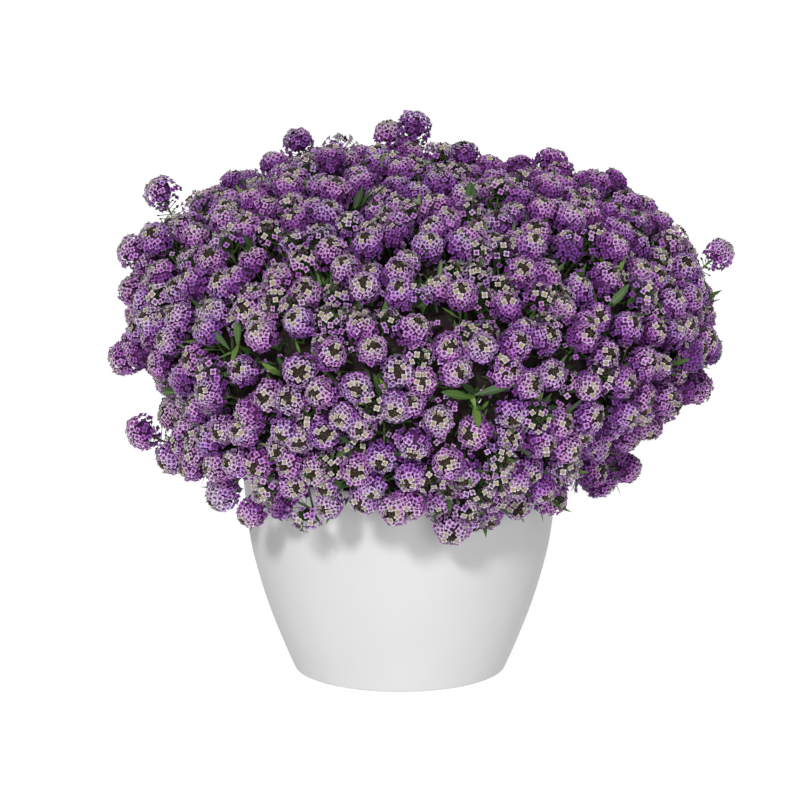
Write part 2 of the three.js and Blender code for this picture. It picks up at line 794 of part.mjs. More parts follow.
/**
 * The green of a spray. A limb or a leaf that would meet a solid of another node is left out,
 * and so are the leaves of a limb that is left out.
 */
function shootSolid(spray, neighbours) {
  const path = stemPath(spray);
  const isClear = (solid) => neighbours.every((other) => solid.intersect(other).isEmpty());
  const hangs = spray.centre.z < CROWN_HEIGHT - SKIRT_LEVEL;
  const branches = hangs ? SKIRT_BRANCHES : BRANCHES;
  const orders = Array.from({ length: branches }, (_, order) => order);
  const limbs = [
    ...orders.map((order) => branchPieces(spray, path, order)),
    ...tufts.filter((tuft) => tuft.spray === spray).map((tuft) => tuftPieces(tuft, path)),
  ];
  const pieces = [bar(path, STEM_RADIUS, STEM_SIDES, STEM_STEPS)];
  for (const { limb, leaves } of limbs) {
    if (isClear(limb)) pieces.push(limb, ...leaves.filter(isClear));
  }
  return joined(pieces);
}

const solids = [];
const plant = new THREE.Group();

function addPiece(name, solid, material) {
  solids.push(solid);
  plant.add(toMesh(name, solid, material));
}

function numbered(name, spray) {
  return `${name}_${String(spray.index + 1).padStart(2, "0")}`;
}

addPiece("pot", potSolid(), materials.pot);
addPiece("soil", mixSolid(), materials.mix);
for (const spray of sprays) {
  addPiece(numbered("flowers", spray), flowerSolid(spray), materials.flower);
}
for (const spray of sprays) {
  addPiece(numbered("shoot", spray), shootSolid(spray, solids), materials.green);
}

export default plant;
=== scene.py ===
"""Sweet alyssum in a round nursery pot: its looks, light and camera.

The rules that place the sprays and the heads are the ones the solids were made with, in
millimetres. The heads are then shifted: into groups, back from the clearings and along the
hem. Meshes are written in metres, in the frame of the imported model. A polar angle is measured
from straight up, in radians, and an azimuth from +X towards +Y.
"""
import itertools
from math import cos, pi, radians, sin, sqrt

import bpy
import numpy as np
from numpy.linalg import norm
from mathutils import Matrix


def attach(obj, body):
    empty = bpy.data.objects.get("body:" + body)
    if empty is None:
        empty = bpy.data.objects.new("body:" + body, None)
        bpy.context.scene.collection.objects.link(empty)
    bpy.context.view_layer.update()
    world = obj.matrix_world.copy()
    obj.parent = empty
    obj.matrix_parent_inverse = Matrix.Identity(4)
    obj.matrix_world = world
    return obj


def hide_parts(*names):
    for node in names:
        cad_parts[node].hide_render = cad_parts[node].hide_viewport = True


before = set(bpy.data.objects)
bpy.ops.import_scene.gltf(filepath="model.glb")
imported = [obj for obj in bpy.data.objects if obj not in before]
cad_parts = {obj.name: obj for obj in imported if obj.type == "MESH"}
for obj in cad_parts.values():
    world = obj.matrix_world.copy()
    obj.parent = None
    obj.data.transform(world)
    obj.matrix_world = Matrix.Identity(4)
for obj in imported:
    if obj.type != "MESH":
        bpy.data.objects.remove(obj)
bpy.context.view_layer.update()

MM = 0.001
TURN = 2 * pi
GOLDEN_ANGLE = pi * (3 - sqrt(5))
UP = np.array([0.0, 0.0, 1.0])

# Crown, as in the solids
CROWN_HEIGHT, CROWN_RADIUS, CROWN_RISE, CROWN_DROP = 262, 218, 133, 150
CROWN_SHIFT = 14
SHOULDER_POWER = 0.83
CROWN_LOBES = [(0.022, 3, 0.9, 0), (0.016, 5, 0, 4)]  # depth, number, turn, twist
HOLLOW_DEPTH, HOLLOW_SKEW = 0.165, 0.25  # below the widest level, on both sides
HOLLOW_POLAR, HOLLOW_TILT, HOLLOW_WIDTH = 1.89, 0.08, 0.23
DIP_DEPTH, DIP_POLAR, DIP_WIDTH, DIP_AZIMUTH, DIP_SPREAD = 17, 0.45, 0.3, 1, 0.6  # in the top
SKIRT_POLAR = radians(138)
SKIRT_RISE, SKIRT_TILT = 0.115, 0.055
TONGUE_DEPTH, TONGUE_AZIMUTH, TONGUE_WIDTH = 0.12, -1.3, 0.12  # where the skirt hangs lowest
AREA_STEPS = 720

# Sprays and heads, as in the solids
SPRAYS = 28
SPRAY_REACH = 130
SPRAY_WEDGES = 36
HEAD_AREA = 825
HEAD_SPACING = 32
EASING_ROUNDS = 16
EASING = 0.25
HEAD_INSET = 12
HEAD_LENGTH, SKIRT_HEAD_LENGTH = 24, 16
HEAD_VARIETY = 5
SHORTENING_POLAR = 1.9
HEAD_LEAN = 0.6
HEAD_ASKEW = np.array([0.36, 0.36, 0.3])
STAND_OUT_HEADS = [  # azimuth and polar angle in degrees, extra length
    (85, 17, 31), (105, 23, 20), (134, 33, 22), (40, 35, 19), (174, 56, 34), (180, 70, 20),
    (12, 76, 27), (110, 66, 20), (60, 84, 16), (176, 92, 22), (-10, 99, 9), (128, 104, 14),
    (-172, 122, 32), (-94, 123, 8), (-76, 134, 9), (-142, 132, 6),
]
TUFT_ROOM = 20

# Pot, mix and stems, as in the solids
POT_WALL, POT_HEIGHT = 2.4, 174
POT_PROFILE = [
    (83.2, 0), (85.2, 1.6), (94.8, 24), (106, 53.6), (114.8, 83), (121.2, 112.5), (126, 160),
]
RIM_RADIUS, RIM_DEPTH, RIM_ROUND = 129.4, 9, 1.2
MIX_EDGE_HEIGHT, MIX_MOUND, GAP = 154, 7, 0.3
STEM_RADIUS, STEM_SPREAD, STEM_DEPTH = 2.2, 98, 6
STEM_APPROACH = 32
STEM_OVERHANG = (1.75, 2.45)

# First seeds of heads and tufts, and the seeds of the generators
STAND_OUT_SEED, TUFT_SEED, CLEARING_SEED, MINOR_SEED = 5000, 7000, 7100, 20000
BLOOM_SEED, FOLIAGE_SEED, GAP_SEED, CRUMB_SEED = 1000, 2000, 11, 5


# ---- the crown ----

def draw(index, channel):
    """A repeatable draw from 0 to 1 for the numbered item and channel."""
    mask = 0xFFFFFFFF
    a = ((index + 1) * 0x9E3779B1 & mask) ^ ((channel + 1) * 0x85EBCA6B & mask)
    a = (a ^ (a >> 16)) * 0x21F0AAAD & mask
    a = (a ^ (a >> 15)) * 0x735A2D97 & mask
    a ^= a >> 15
    return a / 4294967296


def unit(vectors):
    return vectors / norm(vectors, axis=-1, keepdims=True)


def bump(offset, width):
    return np.exp(-((offset / width) ** 2))


def share_between(value, start, end):
    """How far a value is on its way from the start to the end, from 0 to 1."""
    return min(1, max(0, (float(value) - start) / (end - start)))


def swell(polar, azimuth):
    """Width of the crown, with its lobes and the hollows at its sides, as a share."""
    lobed = sum(
        depth * np.sin(number * azimuth + turn + twist * polar)
        for depth, number, turn, twist in CROWN_LOBES
    )
    side = np.cos(azimuth)
    sided = HOLLOW_DEPTH * (1 + HOLLOW_SKEW * side) * side**2
    hollow = bump(polar - HOLLOW_POLAR - HOLLOW_TILT * side, HOLLOW_WIDTH)
    return 1 + lobed * np.sin(polar) ** 3 - sided * hollow


def wrapped(azimuth):
    return np.arctan2(np.sin(azimuth), np.cos(azimuth))


def dip(polar, azimuth):
    sideways = bump(wrapped(azimuth) - DIP_AZIMUTH, DIP_SPREAD)
    return DIP_DEPTH * bump(polar - DIP_POLAR, DIP_WIDTH) * sideways


def skirt_edge(azimuth):
    side = np.cos(azimuth)
    tongue = TONGUE_DEPTH * bump(wrapped(azimuth) - TONGUE_AZIMUTH, TONGUE_WIDTH)
    return SKIRT_POLAR - SKIRT_RISE * side**4 + SKIRT_TILT * side + tongue


def shift(polar):
    below = np.maximum(0, (polar - pi / 2) / (SKIRT_POLAR - pi / 2))
    return CROWN_SHIFT * (1 - below**2)


def meridian(polar):
    """Radius and height of the even crown, without its lobes."""
    level = np.cos(polar)
    upper = level > 0
    rise = np.where(upper, CROWN_RISE * np.abs(level) ** SHOULDER_POWER, CROWN_DROP * level)
    power = np.where(polar < pi / 2, SHOULDER_POWER, 1)
    return CROWN_RADIUS * np.sin(polar) ** power, CROWN_HEIGHT + rise


def crown_point(polar, azimuth):
    polar, azimuth = np.asarray(polar, float), np.asarray(azimuth, float)
    even, height = meridian(polar)
    radius = even * swell(polar, azimuth)
    x = shift(polar) + radius * np.cos(azimuth)
    return np.stack([x, radius * np.sin(azimuth), height - dip(polar, azimuth)], axis=-1)


def angles_of(points):
    """Polar and azimuth angles of the crown points in line with points near it."""
    points = np.asarray(points, float)
    polar = np.full(points.shape[:-1], pi / 2)
    azimuth = np.zeros(points.shape[:-1])
    for _ in range(4):
        x = points[..., 0] - shift(polar)
        azimuth = np.arctan2(points[..., 1], x)
        across = np.hypot(x, points[..., 1]) / (CROWN_RADIUS * swell(polar, azimuth))
        rise = points[..., 2] + dip(polar, azimuth) - CROWN_HEIGHT
        level = np.where(rise > 0, rise / CROWN_RISE, rise / CROWN_DROP)
        exponent = np.where(rise > 0, 1 / SHOULDER_POWER, 1)
        polar = np.arctan2(across**exponent, np.sign(level) * np.abs(level) ** exponent)
    return polar, azimuth


def crown_normal(polar, azimuth):
    step = 0.01
    clear = np.maximum(polar, 2 * step)
    down = crown_point(clear + step, azimuth) - crown_point(clear - step, azimuth)
    round_ = crown_point(clear, azimuth + step) - crown_point(clear, azimuth - step)
    return unit(np.cross(down, round_))


def polar_at_share(share):
    """Polar angle above which the crown has the given share of its area."""
    steps = np.arange(AREA_STEPS + 1) * SKIRT_POLAR / AREA_STEPS
    radius, height = meridian(steps)
    slant = np.hypot(np.diff(radius), np.diff(height))
    area = np.concatenate([[0], np.cumsum(pi * (radius[1:] + radius[:-1]) * slant)])
    return np.interp(share * area[-1], area, steps)


# ---- sprays and heads ----

class Spray:
    def __init__(self, index):
        self.index = index
        self.polar = float(polar_at_share((index + 0.5) / SPRAYS))
        self.azimuth = index * GOLDEN_ANGLE
        self.centre = crown_point(self.polar, self.azimuth)
        self.normal = crown_normal(self.polar, self.azimuth)
        self.along = np.array([-sin(self.azimuth), cos(self.azimuth), 0])
        self.across = unit(np.cross(self.normal, self.along))
        self.number = f"{index + 1:02d}"


sprays = [Spray(index) for index in range(SPRAYS)]
centres = np.array([spray.centre for spray in sprays])


def nearest_spray(point):
    return sprays[norm(centres - point, axis=1).argmin()]


def border_distance(points, spray):
    """Distance from points in a spray to its nearest border, or to the edge of the skirt."""
    polar, azimuth = angles_of(points)
    others = np.delete(centres, spray.index, axis=0)
    apart = norm(others - spray.centre, axis=1)
    far = ((points[:, None] - others) ** 2).sum(axis=2)
    near = ((points - spray.centre) ** 2).sum(axis=1)
    borders = (far - near[:, None]) / (2 * apart)
    return np.minimum((skirt_edge(azimuth) - polar) * CROWN_DROP, borders.min(axis=1))


def spray_point(spray, angle, distance):
    distance = np.asarray(distance, float)[..., None]
    flat = spray.centre + distance * (
        cos(angle) * spray.along + sin(angle) * spray.across
    )
    return crown_point(*angles_of(flat))


def reach(spray, angle, inset):
    """How far a spray reaches at an angle, kept the inset away from its border."""
    distances = np.arange(4, SPRAY_REACH)
    beyond = border_distance(spray_point(spray, angle, distances + 1), spray) < inset
    return float(distances[beyond.argmax()] if beyond.any() else SPRAY_REACH)


def held(point, spray):
    """A point brought back to the crown, inside its spray's border and above the skirt's edge."""
    kept = point.copy()
    for other in sprays:
        if other is spray:
            continue
        apart = norm(other.centre - spray.centre)
        far = ((kept - other.centre) ** 2).sum()
        near = ((kept - spray.centre) ** 2).sum()
        short = HEAD_INSET - (far - near) / (2 * apart)
        if short > 0:
            kept += (spray.centre - other.centre) * (short / apart)
    polar, azimuth = angles_of(kept)
    return crown_point(min(polar, skirt_edge(azimuth) - HEAD_INSET / CROWN_DROP), azimuth)


def roots_of(spray):
    """First places of a spray's heads: as many as its area holds, like sunflower seeds."""
    wedge = TURN / SPRAY_WEDGES
    area = sum(reach(spray, step * wedge, 0) ** 2 * wedge / 2 for step in range(SPRAY_WEDGES))
    count = int(area / HEAD_AREA + 0.5)
    roots = []
    for order in range(count):
        angle = order * GOLDEN_ANGLE + TURN * draw(spray.index, 5)
        far = reach(spray, angle, HEAD_INSET)
        place = spray_point(spray, angle, far * sqrt((order + 0.5) / count))
        roots.append((spray, 100 * spray.index + order, place))
    return roots


def stand_outs():
    found = []
    for order, (azimuth, polar, extra) in enumerate(STAND_OUT_HEADS):
        wanted = crown_point(radians(polar), radians(azimuth))
        spray = nearest_spray(wanted)
        found.append((spray, STAND_OUT_SEED + order, held(wanted, spray), extra))
    return found


def meetings():
    """Points of the crown where three sprays meet, and where leaves grow up between them."""
    found = []
    for a, b, c in itertools.combinations(sprays, 3):
        ab, ac = b.centre - a.centre, c.centre - a.centre
        normal = np.cross(ab, ac)
        to_centre = np.cross(normal, ab) * (ac @ ac) + np.cross(ac, normal) * (ab @ ab)
        polar, azimuth = angles_of(to_centre / (2 * normal @ normal) + a.centre)
        if polar > skirt_edge(azimuth) - TUFT_ROOM / CROWN_DROP:
            continue
        point = crown_point(polar, azimuth)
        distances = norm(centres - point, axis=1)
        near = distances[a.index] + 1
        distances[[a.index, b.index, c.index]] = np.inf
        if (distances < near).any():
            continue
        spray = min((a, b, c), key=lambda s: sum(owner is s for owner, _, _ in found))
        found.append((spray, TUFT_SEED + len(found), point))
    return found


def eased(roots, pinned):
    """The places, eased apart along the crown. The pinned ones stay and keep their own room."""
    places = np.array([place for _, _, place in roots])
    fixed = np.array([place for _, _, place in pinned])
    room = np.array([HEAD_SPACING] * len(places) + [TUFT_ROOM] * len(fixed))
    for _ in range(EASING_ROUNDS):
        before = np.concatenate([places, fixed])
        away = places[:, None] - before
        distance = norm(away, axis=2)
        distance[distance == 0] = np.inf
        short = np.maximum(0, room - distance)
        short[~np.isfinite(distance)] = 0
        moves = (away / distance[..., None] * (short * EASING)[..., None]).sum(axis=1)
        places = np.array([
            held(place, root[0]) for place, root in zip(places + moves, roots)
        ])
    return [(spray, seed, place) for (spray, seed, _), place in zip(roots, places)]


class Head:
    """A flower head: its root on the crown, the way it faces and the length to its tip."""

    def __init__(self, spray, seed, root, extra=None, kind="full"):
        polar, azimuth = angles_of(root)
        askew = np.array([draw(seed, channel) - 0.5 for channel in (1, 2, 3)]) * HEAD_ASKEW
        below = share_between(polar, SHORTENING_POLAR, SKIRT_POLAR)
        length = HEAD_LENGTH + (SKIRT_HEAD_LENGTH - HEAD_LENGTH) * below
        if extra is None:
            extra = HEAD_VARIETY * (2 * draw(seed, 6) - 1)
        self.spray, self.seed, self.root, self.kind = spray, seed, root, kind
        self.polar = float(polar)
        self.normal = crown_normal(polar, azimuth)
        self.axis = unit(self.normal + HEAD_LEAN * UP + askew)
        self.length = length + extra
        self.tip = root + self.axis * self.length


# ---- how the heads hang and gather, beyond what the solids show ----

# Shares of the full heads that have opened out, low on the skirt and near the top
LOOSE_POLAR, LOOSE_SHARE = 1.85, 0.15
TOP_POLAR, TOP_LOOSE_SHARE = 1.2, 0.24

GROUP_SIZE = 20  # of the groups that heads gather in
GROUP_PULL, GROUP_RISE = 5.5, 5.0
HEAD_RISE = 6  # how much higher one head stands than another in its group
GROUP_FROM, GROUP_TO = 1.95, 1.6  # polar angles at which the gathering starts and is complete

HEM_FROM, HEM_TO = 1.95, 2.25  # polar angles at which the hem starts and is complete
HEM = [  # azimuth, width, then how far along the crown, round it and straight down
    (-158, 11, -22, 0, 0), (-135, 5, 0, 3, 20), (-124, 4, 0, 0, -5), (-105, 4, 0, 0, 6),
    (-98, 4, -18, 0, -8), (-91, 3, -10, -1, -6), (-84.5, 3.2, -18, 0, -10),
    (-79.3, 1.8, -8, 0, -10), (-71.5, 2.5, -6, 0, 0), (-64.5, 3, -2, -3, -4),
    (-40, 4.5, -6, -10, -14), (-22, 12, -16, 0, 0),
]

# Clearings, where leaves show: some of the tufts, and two more, by polar angle and azimuth in
# degrees, that rise above the crown to show over the heads in front
CLEARING_TUFTS = (7000, 7017, 7024, 7032)
CLEARINGS = [(0.45, -116), (0.41, -69)]
CLEARING_RISE = 10
CLEARING_ROOM = 34  # the heads draw back this far round a clearing
CLEARING_APART, CLEARING_SINK = 0.4, 0.35  # shares of that drawing back, sideways and inwards

# Smaller heads, in the gaps between the full ones
MINOR_TRIES = 9000
MINOR_CLEAR = 13.5  # room that one needs
MINOR_SURE = 18.5  # room in which there always is one
MINOR_APART = 19
MINOR_SHORT = 0.35  # from the skirt's edge up to the lowest of them, in radians
MINOR_PATCHES = (31, 27, 23)  # size of the patches that have them
MINOR_PATCH_ABOVE, MINOR_PATCH_BELOW = 0.3, 0.0  # lower for more open patches
MINOR_OPEN = 0.7  # share of a clearing's room that they keep out of
MINOR_SHORTER, MINOR_VARIETY = 3.5, 5  # than a full head, at least, and how much more at most
MINOR_LOOSE_SHARE = 0.45


def in_clearing(seed):
    return seed in CLEARING_TUFTS or seed >= CLEARING_SEED


def loose_share(polar):
    """Share of the full heads at a polar angle that have opened out."""
    if polar > LOOSE_POLAR:
        return LOOSE_SHARE
    return TOP_LOOSE_SHARE if polar < TOP_POLAR else 0


def gathered(head, normal):
    """The way a head moves along and across the crown to form groups with gaps between."""
    x, y, z = head.root / GROUP_SIZE + (1, 2, 0)
    group = sin(x) * sin(y) * sin(z)
    slope = np.array([
        cos(x) * sin(y) * sin(z),
        sin(x) * cos(y) * sin(z),
        sin(x) * sin(y) * cos(z),
    ])
    rise = GROUP_RISE * group + HEAD_RISE * (draw(head.seed, 10) - 0.5)
    return GROUP_PULL * (slope - normal * (slope @ normal)) + rise * normal


def settle(head):
    """Moves a head into its group, back from the clearings and, in the hem, as that hangs."""
    polar, azimuth = angles_of(head.root)
    normal = crown_normal(polar, azimuth)
    low = share_between(polar, HEM_FROM, HEM_TO)
    along = turn = fall = 0
    for place, width, far, side, drop in HEM:
        near = low * float(bump(wrapped(azimuth - radians(place)), radians(width)))
        along += near * far
        turn += near * radians(side)
        fall += near * drop
    moved = crown_point(polar + along / CROWN_DROP, azimuth + turn) - fall * UP - head.root
    moved = moved + share_between(polar, GROUP_FROM, GROUP_TO) * gathered(head, normal)
    for point in clear_points:
        away = head.root - point
        short = max(0, CLEARING_ROOM - norm(away))
        moved = moved + unit(away) * short * CLEARING_APART - normal * short * CLEARING_SINK
    head.root = head.root + moved
    head.tip = head.tip + moved


def gap_places(taken):
    """Places on the crown for smaller heads, and their room, the roomiest first."""
    rng = np.random.default_rng(GAP_SEED)
    polar = np.arccos(rng.uniform(cos(SKIRT_POLAR), 1, MINOR_TRIES))
    azimuth = rng.uniform(-pi, pi, MINOR_TRIES)
    inside = polar < skirt_edge(azimuth) - MINOR_SHORT
    tried = crown_point(polar[inside], azimuth[inside])
    kept = []
    room = norm(tried[:, None] - taken, axis=2).min(axis=1)
    for place, clear in sorted(zip(tried.tolist(), room), key=lambda item: -item[1]):
        if clear < MINOR_CLEAR:
            break
        place = np.array(place)
        if all(norm(place - other) >= MINOR_APART for other, _ in kept):
            kept.append((place, clear))
    return kept


def between(full):
    """Smaller heads that fill the gaps, in patches and away from the clearings."""
    taken = np.array([head.root for head in full])
    found = []
    for seed, (place, clear) in enumerate(gap_places(taken), MINOR_SEED):
        x, y, z = place / MINOR_PATCHES
        patch = sin(x + 1) * sin(y + z)
        most = MINOR_PATCH_ABOVE if place[2] > CROWN_HEIGHT else MINOR_PATCH_BELOW
        if clear < MINOR_SURE and patch > most:
            continue
        open_room = norm(clear_points - place, axis=1).min()
        if open_room < MINOR_OPEN * CLEARING_ROOM:
            continue
        extra = -MINOR_SHORTER - MINOR_VARIETY * draw(seed, 6)
        kind = "loose" if draw(seed, 7) < MINOR_LOOSE_SHARE else "minor"
        found.append(Head(nearest_spray(place), seed, place, extra, kind))
    return found


tufts = meetings()
roots = eased([root for spray in sprays for root in roots_of(spray)], tufts)
for order, (polar, azimuth) in enumerate(CLEARINGS):
    point = crown_point(polar, radians(azimuth))
    tufts.append((nearest_spray(point), CLEARING_SEED + order, point))
clear_points = np.array([point for _, seed, point in tufts if in_clearing(seed)])
heads = [Head(*root) for root in roots]
for head in heads:
    if draw(head.seed, 8) < loose_share(head.polar):
        head.kind = "loose"
heads += between(heads)
for head in heads:
    settle(head)
heads += [Head(*place, "tall") for place in stand_outs()]


# ---- meshes ----

def new_object(name, data):
    thing = bpy.data.objects.new(name, data)
    bpy.context.scene.collection.objects.link(thing)
    return thing


class Parts:
    """Triangles of one piece, with the numbers that its materials read at each corner."""

    def __init__(self):
        self.points, self.faces, self.slots, self.values = [], [], [], []
        self.count = 0

    def add(self, points, faces, slot, part, age, tint):
        """Adds copies of a shape. points is (copies, corners, 3), faces is (n, 3)."""
        copies, corners = points.shape[:2]
        starts = self.count + np.arange(copies)[:, None, None] * corners
        self.points.append(points.reshape(-1, 3))
        self.faces.append((starts + np.array(faces)[None]).reshape(-1, 3))
        self.slots.append(np.full(copies * len(faces), slot))
        spread = [np.broadcast_to(value, (copies, corners)) for value in (part, age, tint)]
        self.values.append(np.stack(spread, axis=-1).reshape(-1, 3))
        self.count += copies * corners

    def copy(self, shape, slot, axes, places, sizes, age, tint):
        """Adds copies of a shape with their own axes, and with one size each or three."""
        corners, faces, part = shape
        scaled = corners * np.reshape(sizes, (len(places), 1, -1))
        points = np.einsum("nvi,nij->nvj", scaled, axes) + places[:, None]
        self.add(points, faces, slot, part, age, tint)

    def build(self, name, materials):
        points = np.concatenate(self.points) * MM
        faces = np.concatenate(self.faces)
        values = np.concatenate(self.values)
        mesh = bpy.data.meshes.new(name)
        mesh.vertices.add(len(points))
        mesh.vertices.foreach_set("co", points.ravel())
        mesh.loops.add(3 * len(faces))
        mesh.loops.foreach_set("vertex_index", faces.ravel())
        mesh.polygons.add(len(faces))
        mesh.polygons.foreach_set("loop_start", np.arange(len(faces)) * 3)
        mesh.polygons.foreach_set("material_index", np.concatenate(self.slots))
        mesh.update(calc_edges=True)
        mesh.validate()
        mesh.polygons.foreach_set("use_smooth", np.full(len(mesh.polygons), True))
        for channel, title in enumerate(("part", "age", "tint")):
            layer = mesh.attributes.new(title, "FLOAT", "POINT")
            layer.data.foreach_set("value", values[:, channel].astype(np.float32))
        for material in materials:
            mesh.materials.append(material)
        return new_object(name, mesh)


def frames(normals, rolls):
    """Right-handed axes for copies of a shape: their Z follows the normals, rolled about it."""
    normals = unit(normals)
    helper = np.where(np.abs(normals[:, 2:3]) < 0.9, UP, np.array([1.0, 0, 0]))
    x = unit(np.cross(helper, normals))
    y = np.cross(normals, x)
    along, across = np.cos(rolls)[:, None], np.sin(rolls)[:, None]
    return np.stack([x * along + y * across, y * along - x * across, normals], axis=1)


def around(axis, polar, turn):
    """Directions at polar angles and turns about an axis."""
    local = [np.sin(polar) * np.cos(turn), np.sin(polar) * np.sin(turn), np.cos(polar)]
    return np.stack(local, axis=1) @ frames(axis[None], np.zeros(1))[0]


def sideways_from(axis, turn, rise=0.0):
    """Directions square to an axis at turns about it, with a rise along it."""
    flat = [np.cos(turn), np.sin(turn), np.full(len(turn), rise)]
    return np.stack(flat, axis=1) @ frames(axis[None], np.zeros(1))[0]


def fan(tip, ring, sides):
    """Triangles from a tip to a ring, which is given by the number of its first corner."""
    return [(tip, ring + i, ring + (i + 1) % sides) for i in range(sides)]


def band(low, high, sides):
    """Triangles between two rings."""
    faces = []
    for i in range(sides):
        j = (i + 1) % sides
        faces += [(low + i, low + j, high + j), (low + i, high + j, high + i)]
    return faces


def flipped(faces):
    return [face[::-1] for face in faces]


def tubes(parts, starts, ends, start_radius, end_radius, slot, sides=3):
    """Straight tapered bars between pairs of points."""
    starts, ends = np.atleast_2d(starts), np.atleast_2d(ends)
    axes = frames(ends - starts, np.zeros(len(starts)))
    angles = TURN * np.arange(sides) / sides
    ring = np.stack([np.cos(angles), np.sin(angles), np.zeros(sides)], axis=1)
    rings = [
        np.einsum("vi,nij->nvj", ring * radius, axes) + middles[:, None]
        for radius, middles in ((start_radius, starts), (end_radius, ends))
    ]
    part = np.repeat([0.0, 1.0], sides)[None]
    parts.add(np.concatenate(rings, axis=1), band(0, sides, sides), slot, part, 0.5, 0.5)


def curved_tube(parts, path, radii, slot, sides):
    """One tube along a path of points."""
    path = np.asarray(path)
    tangent = unit(np.gradient(path, axis=0))
    side = unit(np.cross(tangent[0], [0.3, 0.9, 0.2]))
    angles = TURN * np.arange(sides)[:, None] / sides
    rings = []
    for point, forward, radius in zip(path, tangent, radii):
        side = unit(side - forward * (side @ forward))
        other = np.cross(forward, side)
        rings.append(point + radius * (np.cos(angles) * side + np.sin(angles) * other))
    faces = []
    for row in range(len(path) - 1):
        faces += band(row * sides, (row + 1) * sides, sides)
    part = np.repeat(np.linspace(0, 1, len(path)), sides)[None]
    parts.add(np.concatenate(rings)[None], faces, slot, part, 0.5, 0.5)


def with_ends(knots):
    """The knots as an array, with one more in line at each end."""
    knots = np.array(knots, float)
    return np.concatenate([[2 * knots[0] - knots[1]], knots, [2 * knots[-1] - knots[-2]]])


def smooth_stretch(knots, share):
    """Points at shares of the way from the second of four knots to the third."""
    a, b, c, d = knots
    t = share[:, None]
    bent = (2 * a - 5 * b + 4 * c - d) * t**2 + (3 * b - a - 3 * c + d) * t**3
    return 0.5 * (2 * b + (c - a) * t + bent)


# ---- shapes of florets, buds and the inside of a head ----

PETAL_EDGE = [(-44, 0.68, 0.0), (-11, 1.0, 0.06), (11, 1.0, 0.06), (44, 0.68, 0.0)]
EYE_DEPTH, CALYX_DEPTH = 0.2, 0.75


def floret_shape():
    """A four-petalled, squarish floret about Z, and how far out each of its corners is."""
    corners, part, faces = [(0, 0, -EYE_DEPTH), (0, 0, -CALYX_DEPTH)], [0, 0.9], []
    for quarter in range(4):
        first = len(corners)
        for turn, radius, height in PETAL_EDGE:
            angle = radians(90 * quarter + turn)
            corners.append((radius * cos(angle), radius * sin(angle), height))
            part.append(1 if radius == 1 else 0.85)
        faces += [(0, first + i, first + i + 1) for i in range(len(PETAL_EDGE) - 1)]
        faces.append((1, first + 3, first))
    return np.array(corners), faces, np.array(part)[None]


def ball(rows, sides):
    """A ball of radius 1 and the triangles over it."""
    corners = [(0, 0, 1.0)]
    faces = fan(0, 1, sides)
    for row in range(1, rows):
        polar = pi * row / rows
        for side in range(sides):
            angle = TURN * (side + row / 2) / sides
            x, y = sin(polar) * cos(angle), sin(polar) * sin(angle)
            corners.append((x, y, cos(polar)))
    for row in range(rows - 2):
        faces += flipped(band(1 + row * sides, 1 + (row + 1) * sides, sides))
    faces += flipped(fan(len(corners), 1 + (rows - 2) * sides, sides))
    corners.append((0, 0, -1.0))
    return np.array(corners), faces


def measured(corners, faces):
    """A shape, with how far up each of its corners is from its foot."""
    return corners, faces, (corners[:, 2] / 2 + 0.5)[None]


FLORET = floret_shape()
BUD_CORNERS = np.array([
    (0, 0, -1), (1, 0, 0), (0, 1, 0), (-1, 0, 0), (0, -1, 0), (0, 0, 1.0),
])
BUD = measured(BUD_CORNERS, flipped(fan(0, 1, 4)) + fan(5, 1, 4))
CORE = measured(*ball(4, 7))


# ---- the dark layer under the heads of a spray, in painted shade ----

THATCH_DEPTH, THATCH_ROUGH = 12, 4
THATCH_RINGS, THATCH_SIDES = 9, 30
THATCH_OVERLAP = 1  # past the spray's border
THATCH_SHORT = 0.24  # from the skirt's edge up to its end, in radians
THATCH_STEP = 3  # by which its end is brought back from the skirt's edge


def thatch_end(spray, angle):
    """How far the layer goes at an angle: past the border, but short of the skirt's edge."""
    least = 2
    far = reach(spray, angle, -THATCH_OVERLAP)
    for distance in np.arange(far, least, -THATCH_STEP):
        polar, azimuth = angles_of(spray_point(spray, angle, distance))
        if polar < skirt_edge(azimuth) - THATCH_SHORT:
            return distance
    return least


thatch_reach = np.array([
    [thatch_end(spray, TURN * side / THATCH_SIDES) for side in range(THATCH_SIDES)]
    for spray in sprays
])


# ---- flower heads ----

PETAL, BUDS, STALK, INSIDE = 0, 1, 2, 3  # material slots
FIRST_RING, OLDEST_RING = radians(22), radians(108)
BUD_RING = radians(18)
CROWDING = 1.18  # above 1, florets crowd towards the top of a head
VARIETY = (0.9, 1.1)  # least and most share of the usual size or number

HEAD_KINDS = {  # radius, florets, their last ring, buds, radius of the dark inside as a share
    "full": (12.1, 57, 120, 11, 0.9),
    "minor": (10.8, 42, 116, 9, 0.88),
    "loose": (13.2, 29, 104, 7, 0.4),
    "tall": (12.8, 72, 124, 11, 0.72),
}
DOME_SUNK = 0.88  # share of its radius from a dome's middle to the tip
DOME_DROP, DOME_RISE = 2.5, 1  # of its middle, at most
DOME_SLIDE, DOME_SINK, DOME_SINK_SPREAD = 2.2, 1, 2.6  # of heads that don't stand out
FACING_LEAN, FACING_ASKEW = 0.3, 0.26
INSIDE_FLAT = 0.92

